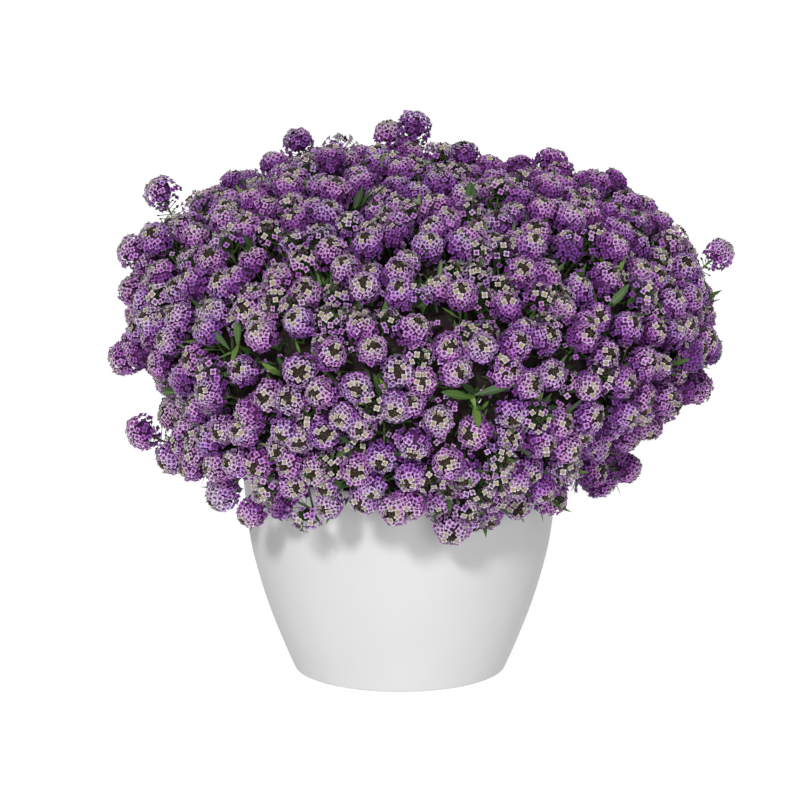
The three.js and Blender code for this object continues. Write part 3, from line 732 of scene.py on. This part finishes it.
# Ages run from 0, just open, to 1. Each head's offset makes all its florets older, or younger: in
# part at random, in part as painted light and shade by the side and height where it sits.
YOUNGEST, FIRST_OPEN = 0.05, 0.16  # ages of the cream florets and of the next ones
AGE_SPREAD, MOOD_SPREAD = 0.06, 0.12
MOOD_YOUNG = 0.2  # how much younger loose and tall heads are
LEFT_PAINTED_LIGHT, RIGHT_PAINTED_SHADE = 0.06, 0.14  # how much younger, so paler, on the -X side, where the key light falls, and older, so darker, on the +X side: painted light and shade
HIGH_POLAR = 1.15  # above it a head's flank shows, and its florets are made older, so darker, as painted shade
# Painted shade near the top: how much older, so darker, a head's florets get, and how much more its
# flank florets get
HIGH_PAINTED_SHADE, FLANK_PAINTED_SHADE = 0.06, 0.25

FLORET_SIZE = 2.85  # radius of the youngest
FLORET_SHRINK = 0.15  # how much smaller the oldest is
FLORET_LEAN, FLORET_ASKEW = 0.3, 0.24
FLORET_FOOT = 0.6  # from a floret's eye down to the end of its stalk
SKIRT_FROM = 1.35  # polar angle on a head below which its florets turn up
STALK_FOOT = 6  # below a head's root


def seat(head, rng):
    """Draws a head's size, number of florets and the offset to their ages, which holds painted
    light and shade, and where its dome is and faces.
    """
    radius, count = HEAD_KINDS[head.kind][:2]
    head.radius = radius * rng.uniform(*VARIETY)
    head.count = round(count * rng.uniform(*VARIETY))
    head.mood = rng.normal(0, MOOD_SPREAD) - MOOD_YOUNG * (head.kind in ("loose", "tall"))
    side = head.normal[0]
    high = max(0, HIGH_POLAR - head.polar)
    # Painted light and shade: younger, so paler, florets on the -X side where the key light falls,
    # older, so darker, ones on the +X side and near the top
    head.mood += HIGH_PAINTED_SHADE * high + (RIGHT_PAINTED_SHADE if side > 0 else LEFT_PAINTED_LIGHT) * side
    slide = rng.normal(0, DOME_SLIDE, 3) + head.axis * rng.normal(-DOME_SINK, DOME_SINK_SPREAD)
    slide *= head.kind != "tall"
    sunk = head.radius * DOME_SUNK + rng.uniform(-DOME_RISE, DOME_DROP)
    head.middle = head.tip - head.axis * sunk + slide
    head.facing = unit(head.normal + FACING_LEAN * UP + FACING_ASKEW * rng.normal(size=3))


def add_florets(parts, head, rng):
    """The florets on a head's dome, youngest at the top and spaced like sunflower seeds."""
    count, radius, facing = head.count, head.radius, head.facing
    loose = head.kind == "loose"
    last_ring = radians(HEAD_KINDS[head.kind][2])
    order = np.arange(count)
    share = ((order + 0.5) / count) ** CROWDING
    polar = np.arccos((1 - share) * cos(FIRST_RING) + share * cos(last_ring))
    polar += rng.normal(0, 0.1 if loose else 0.04, count)
    turn = order * GOLDEN_ANGLE + rng.uniform(0, TURN) + rng.normal(0, 0.07, count)
    outward = around(facing, polar, turn)
    stretch = radius * rng.normal(1, 0.085 if loose else 0.035, count)
    sunk = radius * (0.08 * np.cos(polar) + 0.6 * np.maximum(0, polar - pi / 2))
    places = head.middle + outward * stretch[:, None] - np.outer(sunk, facing)

    grown_and_shaded = (polar - FIRST_RING) / (OLDEST_RING - FIRST_RING)
    # Painted shade: on a head near the top, the flank florets are made older, so darker, than their
    # ring gives
    grown_and_shaded *= 1 + FLANK_PAINTED_SHADE * max(0, HIGH_POLAR - head.polar)
    age = FIRST_OPEN + grown_and_shaded + rng.normal(0, AGE_SPREAD, count) + head.mood
    young = order < rng.integers(3, 6) + 2 * loose
    age = np.where(young, rng.uniform(0, YOUNGEST, count), np.clip(age, FIRST_OPEN, 1))
    out = outward + FLORET_ASKEW * rng.normal(size=(count, 3))
    out += np.outer(FLORET_LEAN * (polar > SKIRT_FROM), facing)
    size = FLORET_SIZE - np.where(young, 0, FLORET_SHRINK * age)
    size *= rng.uniform(*VARIETY, count)
    axes = frames(out, rng.uniform(0, TURN, count))
    hue = np.clip(rng.normal(rng.uniform(0.2, 0.75), 0.12, (count, 1)), 0, 1)
    parts.copy(FLORET, PETAL, axes, places, size, age[:, None], hue)
    if loose:
        feet = head.middle - facing * (radius * rng.uniform(-0.3, 0.6, count))[:, None]
        tubes(parts, feet, places - unit(out) * FLORET_FOOT, 0.3, 0.24, STALK)


def add_buds(parts, places, directions, widths, flatness, rng):
    """Buds, or pods if they are flat."""
    count = len(places)
    sizes = np.stack([widths * flatness, widths, 1.5 * widths], axis=1)
    axes = frames(directions, rng.uniform(0, TURN, count))
    parts.copy(BUD, BUDS, axes, places, sizes, 0.5, rng.uniform(0, 1, (count, 1)))


def add_head(parts, head, rng):
    """A head: its florets round a cluster of buds, its dark inside and its stalk."""
    _, _, _, buds, inside = HEAD_KINDS[head.kind]
    seat(head, rng)
    add_florets(parts, head, rng)

    order = np.arange(buds)
    polar = BUD_RING * np.sqrt((order + 0.5) / buds)
    outward = around(head.facing, polar, order * GOLDEN_ANGLE + rng.uniform(0, TURN))
    far = head.radius * rng.uniform(0.8, 0.9, buds)
    places = head.middle + outward * far[:, None]
    add_buds(parts, places, outward, rng.uniform(0.75, 1.1, buds), 1, rng)

    axes = frames(head.facing[None], rng.uniform(0, TURN, 1))
    size = np.array([inside, inside, INSIDE_FLAT * inside]) * head.radius
    tint = rng.uniform(0, 1, (1, 1))
    parts.copy(CORE, INSIDE, axes, head.middle[None], size, head.kind == "loose", tint)
    foot = head.root - head.axis * STALK_FOOT
    tubes(parts, foot, head.middle, 0.9, 0.8, STALK, sides=4)
    if head.kind == "tall":
        add_raceme(parts, head, rng)


def add_raceme(parts, head, rng):
    """Pods on thin stalks, below the florets of a head that stands out."""
    count = 32
    along = np.linspace(0.1, 0.9, count)
    bare = norm(head.middle - head.root)
    feet = head.root + head.axis * (bare * along)[:, None]
    sideways = sideways_from(head.axis, np.arange(count) * GOLDEN_ANGLE, 0.35)
    ends = feet + sideways * (head.radius * rng.uniform(0.55, 0.85, count))[:, None]
    tubes(parts, feet, ends, 0.4, 0.3, STALK)
    add_buds(parts, ends, sideways, rng.uniform(1.0, 1.6, count), 0.7, rng)


def add_strays(parts, spray, rng, count):
    """Single old florets on thin stalks, deep between the heads."""
    angle = rng.uniform(0, TURN, count)
    share = np.sqrt(rng.uniform(0, 1, count))
    sides = (angle / TURN * THATCH_SIDES).astype(int) % THATCH_SIDES
    far = share * thatch_reach[spray.index][sides]
    crown = np.array([spray_point(spray, *place) for place in zip(angle, far)])
    normals = crown_normal(*angles_of(crown))
    feet = crown - normals * 11
    places = crown + normals * rng.uniform(-8, 6, count)[:, None] + rng.normal(0, 1.5, (count, 3))
    out = unit(normals + FACING_LEAN * UP + 0.5 * rng.normal(size=(count, 3)))
    axes, size = frames(out, rng.uniform(0, TURN, count)), rng.uniform(2.2, 2.8, count)
    age, hue = rng.uniform(0.2, 0.9, (count, 1)), rng.uniform(0, 1, (count, 1))
    parts.copy(FLORET, PETAL, axes, places, size, age, hue)
    tubes(parts, feet, places - out * FLORET_FOOT, 0.35, 0.25, STALK)


STRAYS, MORE_STRAYS = 50, 45  # drawn before the heads of a spray, and after them


def blooms(spray, own, materials):
    rng = np.random.default_rng(BLOOM_SEED + spray.index)
    parts = Parts()
    add_strays(parts, spray, rng, STRAYS)
    for head in own:
        add_head(parts, head, rng)
    add_strays(parts, spray, rng, MORE_STRAYS)
    piece = parts.build(f"blooms_{spray.number}", materials)
    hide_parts(f"flowers_{spray.number}")
    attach(piece, "root")


# ---- green ----

LEAF, STEM, THATCH = 0, 1, 2  # material slots
LEAF_ROWS = [(0.0, 0.10), (0.22, 0.62), (0.48, 1.0), (0.76, 0.72), (1.0, 0.0)]  # along, width
LEAF_BEND, LEAF_BEND_SPREAD = 0.25, 0.16
LEAF_FOLD = 0.16
LEAF_TURN_UP = 0.3  # how far a leaf's face turns to its axis
TWIG_RADII = [1.1, 1.0, 0.9]
STEM_TIP_RADIUS = 1.5
STEM_STEPS = 6
STEM_SHORT = 9.4  # from the crown down to a stem's end
DEEP_LEAVES = 140


def leaves(parts, bases, directions, faces_to, lengths, widths, rng):
    """Narrow leaves, folded a little along the midrib and curved back towards their tips."""
    forward = unit(directions)
    side = unit(np.cross(forward, faces_to))
    out = np.cross(side, forward)
    droop = rng.normal(LEAF_BEND, LEAF_BEND_SPREAD, len(bases))[:, None]
    rows, part = [], []
    for along, half in LEAF_ROWS:
        bent = out * (0.35 - droop) * along**2 * 0.8
        centre = bases + lengths[:, None] * (forward * along + bent)
        if half == 0:
            rows.append(centre[:, None])
            part.append(1.0)
            continue
        wing = side * (half * widths / 2)[:, None]
        lift = out * (half * widths * LEAF_FOLD)[:, None]
        rows.append(np.stack([centre + wing + lift, centre, centre - wing + lift], axis=1))
        part += [along] * 3
    last = 3 * (len(LEAF_ROWS) - 2)
    faces = [(last, last + 1, last + 3), (last + 1, last + 2, last + 3)]
    for a in range(last):
        if a % 3 < 2:
            faces += [(a, a + 1, a + 4), (a, a + 4, a + 3)]
    tint = rng.uniform(0, 1, len(bases))[:, None]
    edge = np.array([1, 0, 1] * (len(LEAF_ROWS) - 1) + [0.5])[None]  # 0 on the midrib
    parts.add(np.concatenate(rows, axis=1), faces, LEAF, np.array(part)[None], edge, tint)


def wall_radius(height):
    (low_radius, low), (high_radius, high) = POT_PROFILE[-2:]
    return low_radius + (height - low) / (high - low) * (high_radius - low_radius)


def mix_height(radius):
    edge = wall_radius(MIX_EDGE_HEIGHT) - POT_WALL
    return MIX_EDGE_HEIGHT + MIX_MOUND * (1 - radius / edge)


def stem_path(spray):
    """A stem rises from the mix and comes up under the heads, over the pot's rim if need be."""
    radius = STEM_SPREAD * sqrt((spray.index + 0.5) / SPRAYS)
    x, y = radius * cos(spray.azimuth), radius * sin(spray.azimuth)
    foot = np.array([x, y, mix_height(radius) - STEM_DEPTH])
    share = share_between(spray.polar, *STEM_OVERHANG)
    level = 1 - share * share * (3 - 2 * share)
    approach = unit(-spray.normal * np.array([level, level, 1]))
    end = spray.centre - spray.normal * STEM_SHORT
    rise = UP * 4 * STEM_DEPTH
    knots = with_ends([foot, foot + rise, end + approach * STEM_APPROACH, end])
    return np.concatenate([
        smooth_stretch(knots[i:i + 4], np.linspace(0, 1, STEM_STEPS, endpoint=i == 2))
        for i in range(3)
    ])


def add_limbs(parts, spray, own, rng):
    """The main stem, and a branch to each head."""
    path = stem_path(spray)
    curved_tube(parts, path, np.linspace(STEM_RADIUS, STEM_TIP_RADIUS, len(path)), STEM, 6)
    for head in own:
        start = path[rng.integers(len(path) - STEM_STEPS, len(path) - 2)]
        end = head.root - head.axis * 5
        bow = (start + end) / 2 - head.normal * rng.uniform(2, 10)
        middle = 0.25 * start + 0.5 * bow + 0.25 * end
        curved_tube(parts, [start, middle, end], TWIG_RADII, STEM, 4)


def add_leaves(parts, own, rng):
    """Leaves round the foot of each head, pointing out between it and its neighbours."""
    for head in own:
        count = int(rng.integers(3, 6))
        turn = rng.uniform(0, TURN) + np.arange(count) * GOLDEN_ANGLE
        sideways = sideways_from(head.axis, turn)
        bases = head.root - head.axis * rng.uniform(-2, 9, count)[:, None]
        directions = sideways * rng.uniform(0.5, 1.2, count)[:, None] + head.axis
        lengths, widths = rng.uniform(15, 26, count), rng.uniform(2.8, 4.4, count)
        faces_to = -sideways + LEAF_TURN_UP * head.axis
        leaves(parts, bases, directions, faces_to, lengths, widths, rng)


def add_tufts(parts, spray, rng):
    """Longer leaves where sprays meet, and larger ones lying flatter in the clearings."""
    for owner, seed, point in tufts:
        if owner is not spray:
            continue
        normal = crown_normal(*angles_of(point))
        axis = unit(normal + HEAD_LEAN * UP)
        if seed >= CLEARING_SEED:
            point = point + normal * CLEARING_RISE
        count, uneven, astray, size = (6, 0.9, 5, 1.3) if in_clearing(seed) else (8, 0.35, 3, 1)
        turn = rng.uniform(0, TURN) + np.arange(count) * GOLDEN_ANGLE
        sideways = sideways_from(axis, turn + rng.normal(0, uneven, count))
        bases = point - normal * rng.uniform(0, 8, count)[:, None]
        bases += rng.normal(0, astray, (count, 3))
        directions = sideways * rng.uniform(0.3, 1.0, count)[:, None] + axis
        if in_clearing(seed):
            bases += normal * rng.uniform(-3, 5, count)[:, None]
            directions += sideways * 0.6 - axis * rng.uniform(0, 0.6, count)[:, None]
        lengths, widths = rng.uniform(15, 27, count) * size, rng.uniform(3.6, 6, count) * size
        faces_to = -sideways + LEAF_TURN_UP * axis
        leaves(parts, bases, directions, faces_to, lengths, widths, rng)
        start = stem_path(spray)[-4]
        middle = (start + point) / 2 - normal * 6
        curved_tube(parts, [start, middle, point - normal * 3], TWIG_RADII, STEM, 4)


def add_thatch(parts, spray, rng):
    """A rough dark layer of leaf and old stalk, coloured in painted shade, and the deep leaves that
    grow from it.
    """
    rows = [spray.centre[None]]
    faces = fan(0, 1, THATCH_SIDES)
    for ring in range(1, THATCH_RINGS + 1):
        row = []
        for side, far in enumerate(thatch_reach[spray.index]):
            angle = TURN * (side + 0.5 * (ring % 2)) / THATCH_SIDES
            row.append(spray_point(spray, angle, far * ring / THATCH_RINGS))
        rows.append(np.array(row))
    for ring in range(THATCH_RINGS - 1):
        first = 1 + ring * THATCH_SIDES
        faces += flipped(band(first, first + THATCH_SIDES, THATCH_SIDES))
    points = np.concatenate(rows)
    normals = crown_normal(*angles_of(points))
    depth = THATCH_DEPTH + rng.uniform(-THATCH_ROUGH, THATCH_ROUGH, len(points))
    points = points - normals * depth[:, None]
    parts.add(points[None], faces, THATCH, 0.5, 0.5, rng.uniform(0, 1, len(points))[None])
    chosen = rng.choice(len(points), DEEP_LEAVES)
    turned = unit(rng.normal(size=(DEEP_LEAVES, 3)))
    directions = normals[chosen] * 0.5 + turned + 0.4 * UP
    lengths, widths = rng.uniform(12, 22, DEEP_LEAVES), rng.uniform(2.4, 4.2, DEEP_LEAVES)
    bases, faces_to = points[chosen] - normals[chosen] * 2, -turned + normals[chosen]
    leaves(parts, bases, directions, faces_to, lengths, widths, rng)


def foliage(spray, own, materials):
    rng = np.random.default_rng(FOLIAGE_SEED + spray.index)
    parts = Parts()
    add_limbs(parts, spray, own, rng)
    add_leaves(parts, own, rng)
    add_tufts(parts, spray, rng)
    add_thatch(parts, spray, rng)
    piece = parts.build(f"foliage_{spray.number}", materials)
    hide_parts(f"shoot_{spray.number}")
    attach(piece, "root")


# ---- pot and potting mix ----

POT_SIDES, MIX_SIDES = 128, 96
WALL_STEPS = 5  # between two points of the pot's profile
POT_FOOT = [(0, 0), (82.2, 0), (83.6, 0.15), (84.7, 0.7)]
INSIDE_FROM = 4  # height at which the inner wall starts
FLOOR_CORNER = 2
MIX_RINGS = 46
CRUMB_DROP, CRUMB_RISE = 1.6, 1.2


def lathe(name, profile, sides, material, node):
    """A smooth turned piece from [radius, height] pairs; its ends lie on the axis."""
    parts = Parts()
    angles = TURN * np.arange(sides) / sides
    rows = [
        np.stack([radius * np.cos(angles), radius * np.sin(angles), np.full(sides, height)], axis=1)
        for radius, height in profile[1:-1]
    ]
    points = np.concatenate([[(0, 0, profile[0][1])], *rows, [(0, 0, profile[-1][1])]])
    last = 1 + (len(rows) - 1) * sides
    faces = flipped(fan(0, 1, sides)) + fan(len(points) - 1, last, sides)
    for first in range(1, last, sides):
        faces += band(first, first + sides, sides)
    parts.add(points[None], faces, 0, 0.5, 0.5, 0.5)
    piece = parts.build(name, [material])
    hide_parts(node)
    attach(piece, "root")
    return piece


def make_pot(material):
    knots = with_ends(POT_PROFILE[1:])
    share = np.linspace(0, 1, WALL_STEPS, endpoint=False)
    stretches = [smooth_stretch(knots[i:i + 4], share) for i in range(len(knots) - 3)]
    wall = [*np.concatenate(stretches), knots[-2]]
    inside = [(radius - POT_WALL, height) for radius, height in wall if height > INSIDE_FROM]
    inner = wall_radius(POT_HEIGHT) - POT_WALL
    under = POT_HEIGHT - RIM_DEPTH
    rim = [
        (POT_PROFILE[-1][0], under), (RIM_RADIUS - 0.6, under + 0.4),
        (RIM_RADIUS, under + RIM_ROUND), (RIM_RADIUS, POT_HEIGHT - RIM_ROUND),
        (RIM_RADIUS - 0.35, POT_HEIGHT - 0.35), (RIM_RADIUS - RIM_ROUND, POT_HEIGHT),
        (inner + 0.5, POT_HEIGHT), (inner, POT_HEIGHT - 0.5),
    ]
    edge = wall[0][0] - POT_WALL
    floor = [(edge, POT_WALL + FLOOR_CORNER), (edge - FLOOR_CORNER, POT_WALL), (0, POT_WALL)]
    profile = POT_FOOT + wall + rim + inside[::-1] + floor
    lathe("pot_body", profile, POT_SIDES, material, "pot")


def make_mix(material):
    """The mix: a lathe whose top is broken into crumbs."""
    rng = np.random.default_rng(CRUMB_SEED)
    edge = wall_radius(MIX_EDGE_HEIGHT) - POT_WALL - GAP
    top = [(edge * share, mix_height(edge * share)) for share in np.linspace(1, 0, MIX_RINGS)]
    below = [(0, POT_WALL + GAP), (POT_PROFILE[1][0] - POT_WALL - 1, POT_WALL + GAP)]
    below += [(radius - POT_WALL - GAP, height) for radius, height in POT_PROFILE[3:6:2]]
    piece = lathe("potting_mix", below + top, MIX_SIDES, material, "soil")
    corners = np.empty(3 * len(piece.data.vertices))
    piece.data.vertices.foreach_get("co", corners)
    corners = corners.reshape(-1, 3)
    radius = np.hypot(corners[:, 0], corners[:, 1])
    upper = (corners[:, 2] > (MIX_EDGE_HEIGHT - 1) * MM) & (radius < (edge - 1) * MM)
    corners[upper, 2] += rng.uniform(-CRUMB_DROP, CRUMB_RISE, upper.sum()) * MM
    piece.data.vertices.foreach_set("co", corners.ravel())
    piece.data.update()


# ---- materials ----

def linear(value):
    """An 8-bit screen value as linear light."""
    value /= 255
    return value / 12.92 if value <= 0.04045 else ((value + 0.055) / 1.055) ** 2.4


class Nodes:
    """Short names for building a node tree."""

    def __init__(self, name):
        self.material = bpy.data.materials.new(name)
        self.material.use_nodes = True
        self.tree = self.material.node_tree
        self.shader = self.tree.nodes["Principled BSDF"]

    def put(self, node, values):
        """Links the inputs of a node to outputs, and sets those that are given as values."""
        for place, value in values.items():
            if isinstance(value, bpy.types.NodeSocket):
                self.tree.links.new(value, node.inputs[place])
            else:
                node.inputs[place].default_value = value

    def add(self, kind, values, **settings):
        node = self.tree.nodes.new("ShaderNode" + kind)
        for key, value in settings.items():
            setattr(node, key, value)
        self.put(node, values)
        return node

    def surface(self, colour, values):
        self.put(self.shader, {"Base Color": colour, **values})
        return self.material

    def attributes(self, *names):
        return [self.add("Attribute", {}, attribute_name=name).outputs["Fac"] for name in names]

    def colours(self, source, stops):
        """A ramp of linear colours."""
        node = self.add("ValToRGB", {"Fac": source})
        elements = node.color_ramp.elements
        while len(elements) < len(stops):
            elements.new(0.5)
        for element, (place, colour) in zip(elements, stops):
            element.position = place
            element.color = (*colour, 1)
        return node.outputs["Color"]

    def ramp(self, source, *stops):
        """A ramp of 8-bit screen colours."""
        return self.colours(source, [(place, map(linear, colour)) for place, colour in stops])

    def grey_ramp(self, source, *stops):
        return self.colours(source, [(place, [value] * 3) for place, value in stops])

    def mix(self, factor, first, second, blend="MIX"):
        values = {0: factor, 6: first, 7: second}
        return self.add("Mix", values, data_type="RGBA", blend_type=blend).outputs[2]

    def multiply(self, first, second):
        return self.mix(1.0, first, second, "MULTIPLY")

    def noise(self, scale, detail=3, roughness=0.55):
        place = self.add("TexCoord", {}).outputs["Object"]
        values = {"Vector": place, "Scale": scale, "Detail": detail, "Roughness": roughness}
        return self.add("TexNoise", values).outputs["Fac"]

    def bump(self, height, strength, distance):
        values = {"Height": height, "Strength": strength, "Distance": distance}
        self.put(self.shader, {"Normal": self.add("Bump", values).outputs["Normal"]})


def petal_material():
    """Petals by age, from cream to purple, round an eye that darkens once a floret is open."""
    n = Nodes("petals")
    age, part, tint = n.attributes("age", "part", "tint")
    # The ages that these ramps read hold painted light and shade as well: a floret made older is
    # darker.
    blade = n.ramp(
        age, (0.0, (196, 190, 184)), (0.1, (196, 187, 190)), (0.17, (202, 186, 204)),
        (0.4, (206, 177, 212)), (0.62, (200, 152, 210)), (0.82, (174, 110, 192)),
        (1.0, (128, 62, 148)),
    )
    eye = n.ramp(
        age, (0.0, (152, 140, 82)), (0.09, (134, 118, 76)), (0.16, (84, 34, 80)),
        (1.0, (58, 16, 68)),
    )
    inner = n.multiply(blade, (0.62, 0.52, 0.66, 1))
    blade = n.mix(n.grey_ramp(part, (0.5, 0.0), (0.85, 1.0)), inner, blade)
    colour = n.mix(n.grey_ramp(part, (0.38, 0.0), (0.5, 1.0)), eye, blade)
    hue = n.ramp(tint, (0.0, (253, 220, 242)), (0.5, (251, 241, 252)), (1.0, (228, 236, 255)))
    share = n.grey_ramp(age, (0.08, 0.0), (0.3, 1.0))
    colour = n.mix(share, colour, n.multiply(colour, hue))
    values = {"Roughness": 0.62, "Specular IOR Level": 0.3, "Sheen Weight": 0.1}
    return n.surface(colour, values)


def bud_material():
    n = Nodes("buds")
    part, tint = n.attributes("part", "tint")
    tip = n.ramp(part, (0.0, (52, 52, 34)), (0.55, (74, 64, 48)), (1.0, (92, 74, 76)))
    dark = n.grey_ramp(tint, (0.0, 0.5), (1.0, 1.1))
    return n.surface(n.multiply(tip, dark), {"Roughness": 0.7, "Specular IOR Level": 0.25})


def stalk_material(name):
    n = Nodes(name)
    green = n.ramp(n.noise(160), (0.3, (54, 78, 36)), (0.7, (84, 104, 52)))
    n.bump(n.noise(900, 1), 0.3, 0.0004)
    return n.surface(green, {"Roughness": 0.6})


def inside_material():
    """The dark inside of a head, which is green in the loose ones."""
    n = Nodes("head_inside")
    part, age = n.attributes("part", "age")
    colour = n.ramp(part, (0.0, (88, 42, 100)), (0.82, (80, 42, 84)), (0.92, (52, 42, 32)))
    colour = n.mix(age, colour, (linear(38), linear(46), linear(26), 1))
    grain = n.grey_ramp(n.noise(900, 2), (0.35, 0.6), (0.65, 1.15))
    return n.surface(n.multiply(colour, grain), {"Roughness": 0.9, "Specular IOR Level": 0.1})


def leaf_material():
    """Grey-green leaves with a paler midrib. The age attribute is 0 there."""
    n = Nodes("leaves")
    part, edge, tint = n.attributes("part", "age", "tint")
    colour = n.ramp(
        tint, (0.0, (38, 58, 28)), (0.55, (54, 80, 38)), (0.85, (76, 106, 48)),
        (1.0, (106, 138, 62)),
    )
    colour = n.multiply(colour, n.grey_ramp(part, (0.0, 0.8), (0.5, 1.0), (1.0, 1.1)))
    rib = n.grey_ramp(edge, (0.0, 1.0), (0.12, 0.0))
    colour = n.mix(rib, colour, n.ramp(tint, (0.0, (70, 92, 50)), (1.0, (120, 146, 84))))
    n.bump(n.noise(1400, 1), 0.25, 0.0003)
    return n.surface(colour, {"Roughness": 0.55, "Specular IOR Level": 0.35})


def thatch_material():
    n = Nodes("thatch_painted_shade")
    mottle = n.noise(260, 4)
    # Dark brown-purple, near black and dark green: the colours of leaf and old stalk, darkened with
    # painted shade
    colour = n.ramp(mottle, (0.35, (44, 28, 36)), (0.55, (34, 30, 28)), (0.75, (54, 68, 42)))
    return n.surface(colour, {"Roughness": 0.95, "Specular IOR Level": 0.05})


def pot_material():
    n = Nodes("pot_white")
    colour = n.ramp(n.noise(9, 4), (0.3, (191, 192, 191)), (0.7, (196, 197, 196)))
    rough = n.grey_ramp(n.noise(60, 5), (0.3, 0.38), (0.7, 0.48))
    n.bump(n.noise(1100, 2), 0.12, 0.0002)
    return n.surface(colour, {"Roughness": rough, "Specular IOR Level": 0.06})


def mix_material():
    n = Nodes("potting_mix")
    grain = n.noise(320, 5, 0.7)
    colour = n.ramp(grain, (0.3, (24, 16, 10)), (0.55, (52, 36, 24)), (0.75, (92, 70, 48)))
    n.bump(n.noise(500, 4), 0.8, 0.002)
    return n.surface(colour, {"Roughness": 0.95})


def floor_material():
    n = Nodes("floor")
    colour = n.ramp(n.noise(2, 2), (0.3, (88, 88, 88)), (0.7, (92, 92, 92)))
    return n.surface(colour, {
        "Roughness": 0.95, "Specular IOR Level": 0.0,
        "Emission Color": (1, 1, 1, 1), "Emission Strength": 0.96,
    })


# ---- floor, light and camera ----

FLOOR_HALF, FLOOR_DROP = 14, 0.0005  # half its width, and how far it lies below the pot
IMAGE_WIDTH = 0.640  # across the picture, at the pot's axis
LENS, SENSOR = 250, 36
ELEVATION = radians(12.65)
AIM = (0, 0, 0.219)
FARTHEST = 60
SUNS = [  # name, azimuth from the camera's side, elevation and softness in degrees, strength
    ("key", -14, 30, 7, 2.35),
    ("front", 12, 12, 20, 1.1),
    ("top", 175, 64, 30, 0.8),
]
WORLD_STRENGTH = 0.06


def make_floor():
    mesh = bpy.data.meshes.new("floor")
    corners = [(x * FLOOR_HALF, y * FLOOR_HALF, 0) for x, y in ((-1, -1), (1, -1), (1, 1), (-1, 1))]
    mesh.from_pydata(corners, [], [(0, 1, 2, 3)])
    mesh.materials.append(floor_material())
    floor = new_object("floor", mesh)
    floor.location.z = -FLOOR_DROP


def make_camera():
    data = bpy.data.cameras.new("camera")
    data.lens, data.sensor_width = LENS, SENSOR
    data.clip_end = FARTHEST
    distance = IMAGE_WIDTH * LENS / SENSOR
    camera = new_object("camera", data)
    back, rise = distance * cos(ELEVATION), distance * sin(ELEVATION)
    camera.location = (AIM[0], AIM[1] - back, AIM[2] + rise)
    camera.rotation_euler = (pi / 2 - ELEVATION, 0, 0)
    bpy.context.scene.camera = camera


def make_light():
    for name, azimuth, elevation, softness, strength in SUNS:
        data = bpy.data.lights.new(name, "SUN")
        data.angle = radians(softness)
        data.energy = strength
        light = new_object(name, data)
        light.rotation_euler = (radians(90 - elevation), 0, radians(azimuth))
    world = bpy.data.worlds.new("studio")
    bpy.context.scene.world = world
    world.use_nodes = True
    background = world.node_tree.nodes["Background"]
    background.inputs["Color"].default_value = (1, 1, 1, 1)
    background.inputs["Strength"].default_value = WORLD_STRENGTH
    bpy.context.scene.view_settings.view_transform = "Standard"


make_camera()
make_floor()
make_light()
make_pot(pot_material())
make_mix(mix_material())
bloom_materials = [petal_material(), bud_material(), stalk_material("stalks"), inside_material()]
green_materials = [leaf_material(), stalk_material("stems"), thatch_material()]
for spray in sprays:
    own = [head for head in heads if head.spray is spray]
    blooms(spray, own, bloom_materials)
    foliage(spray, own, green_materials)
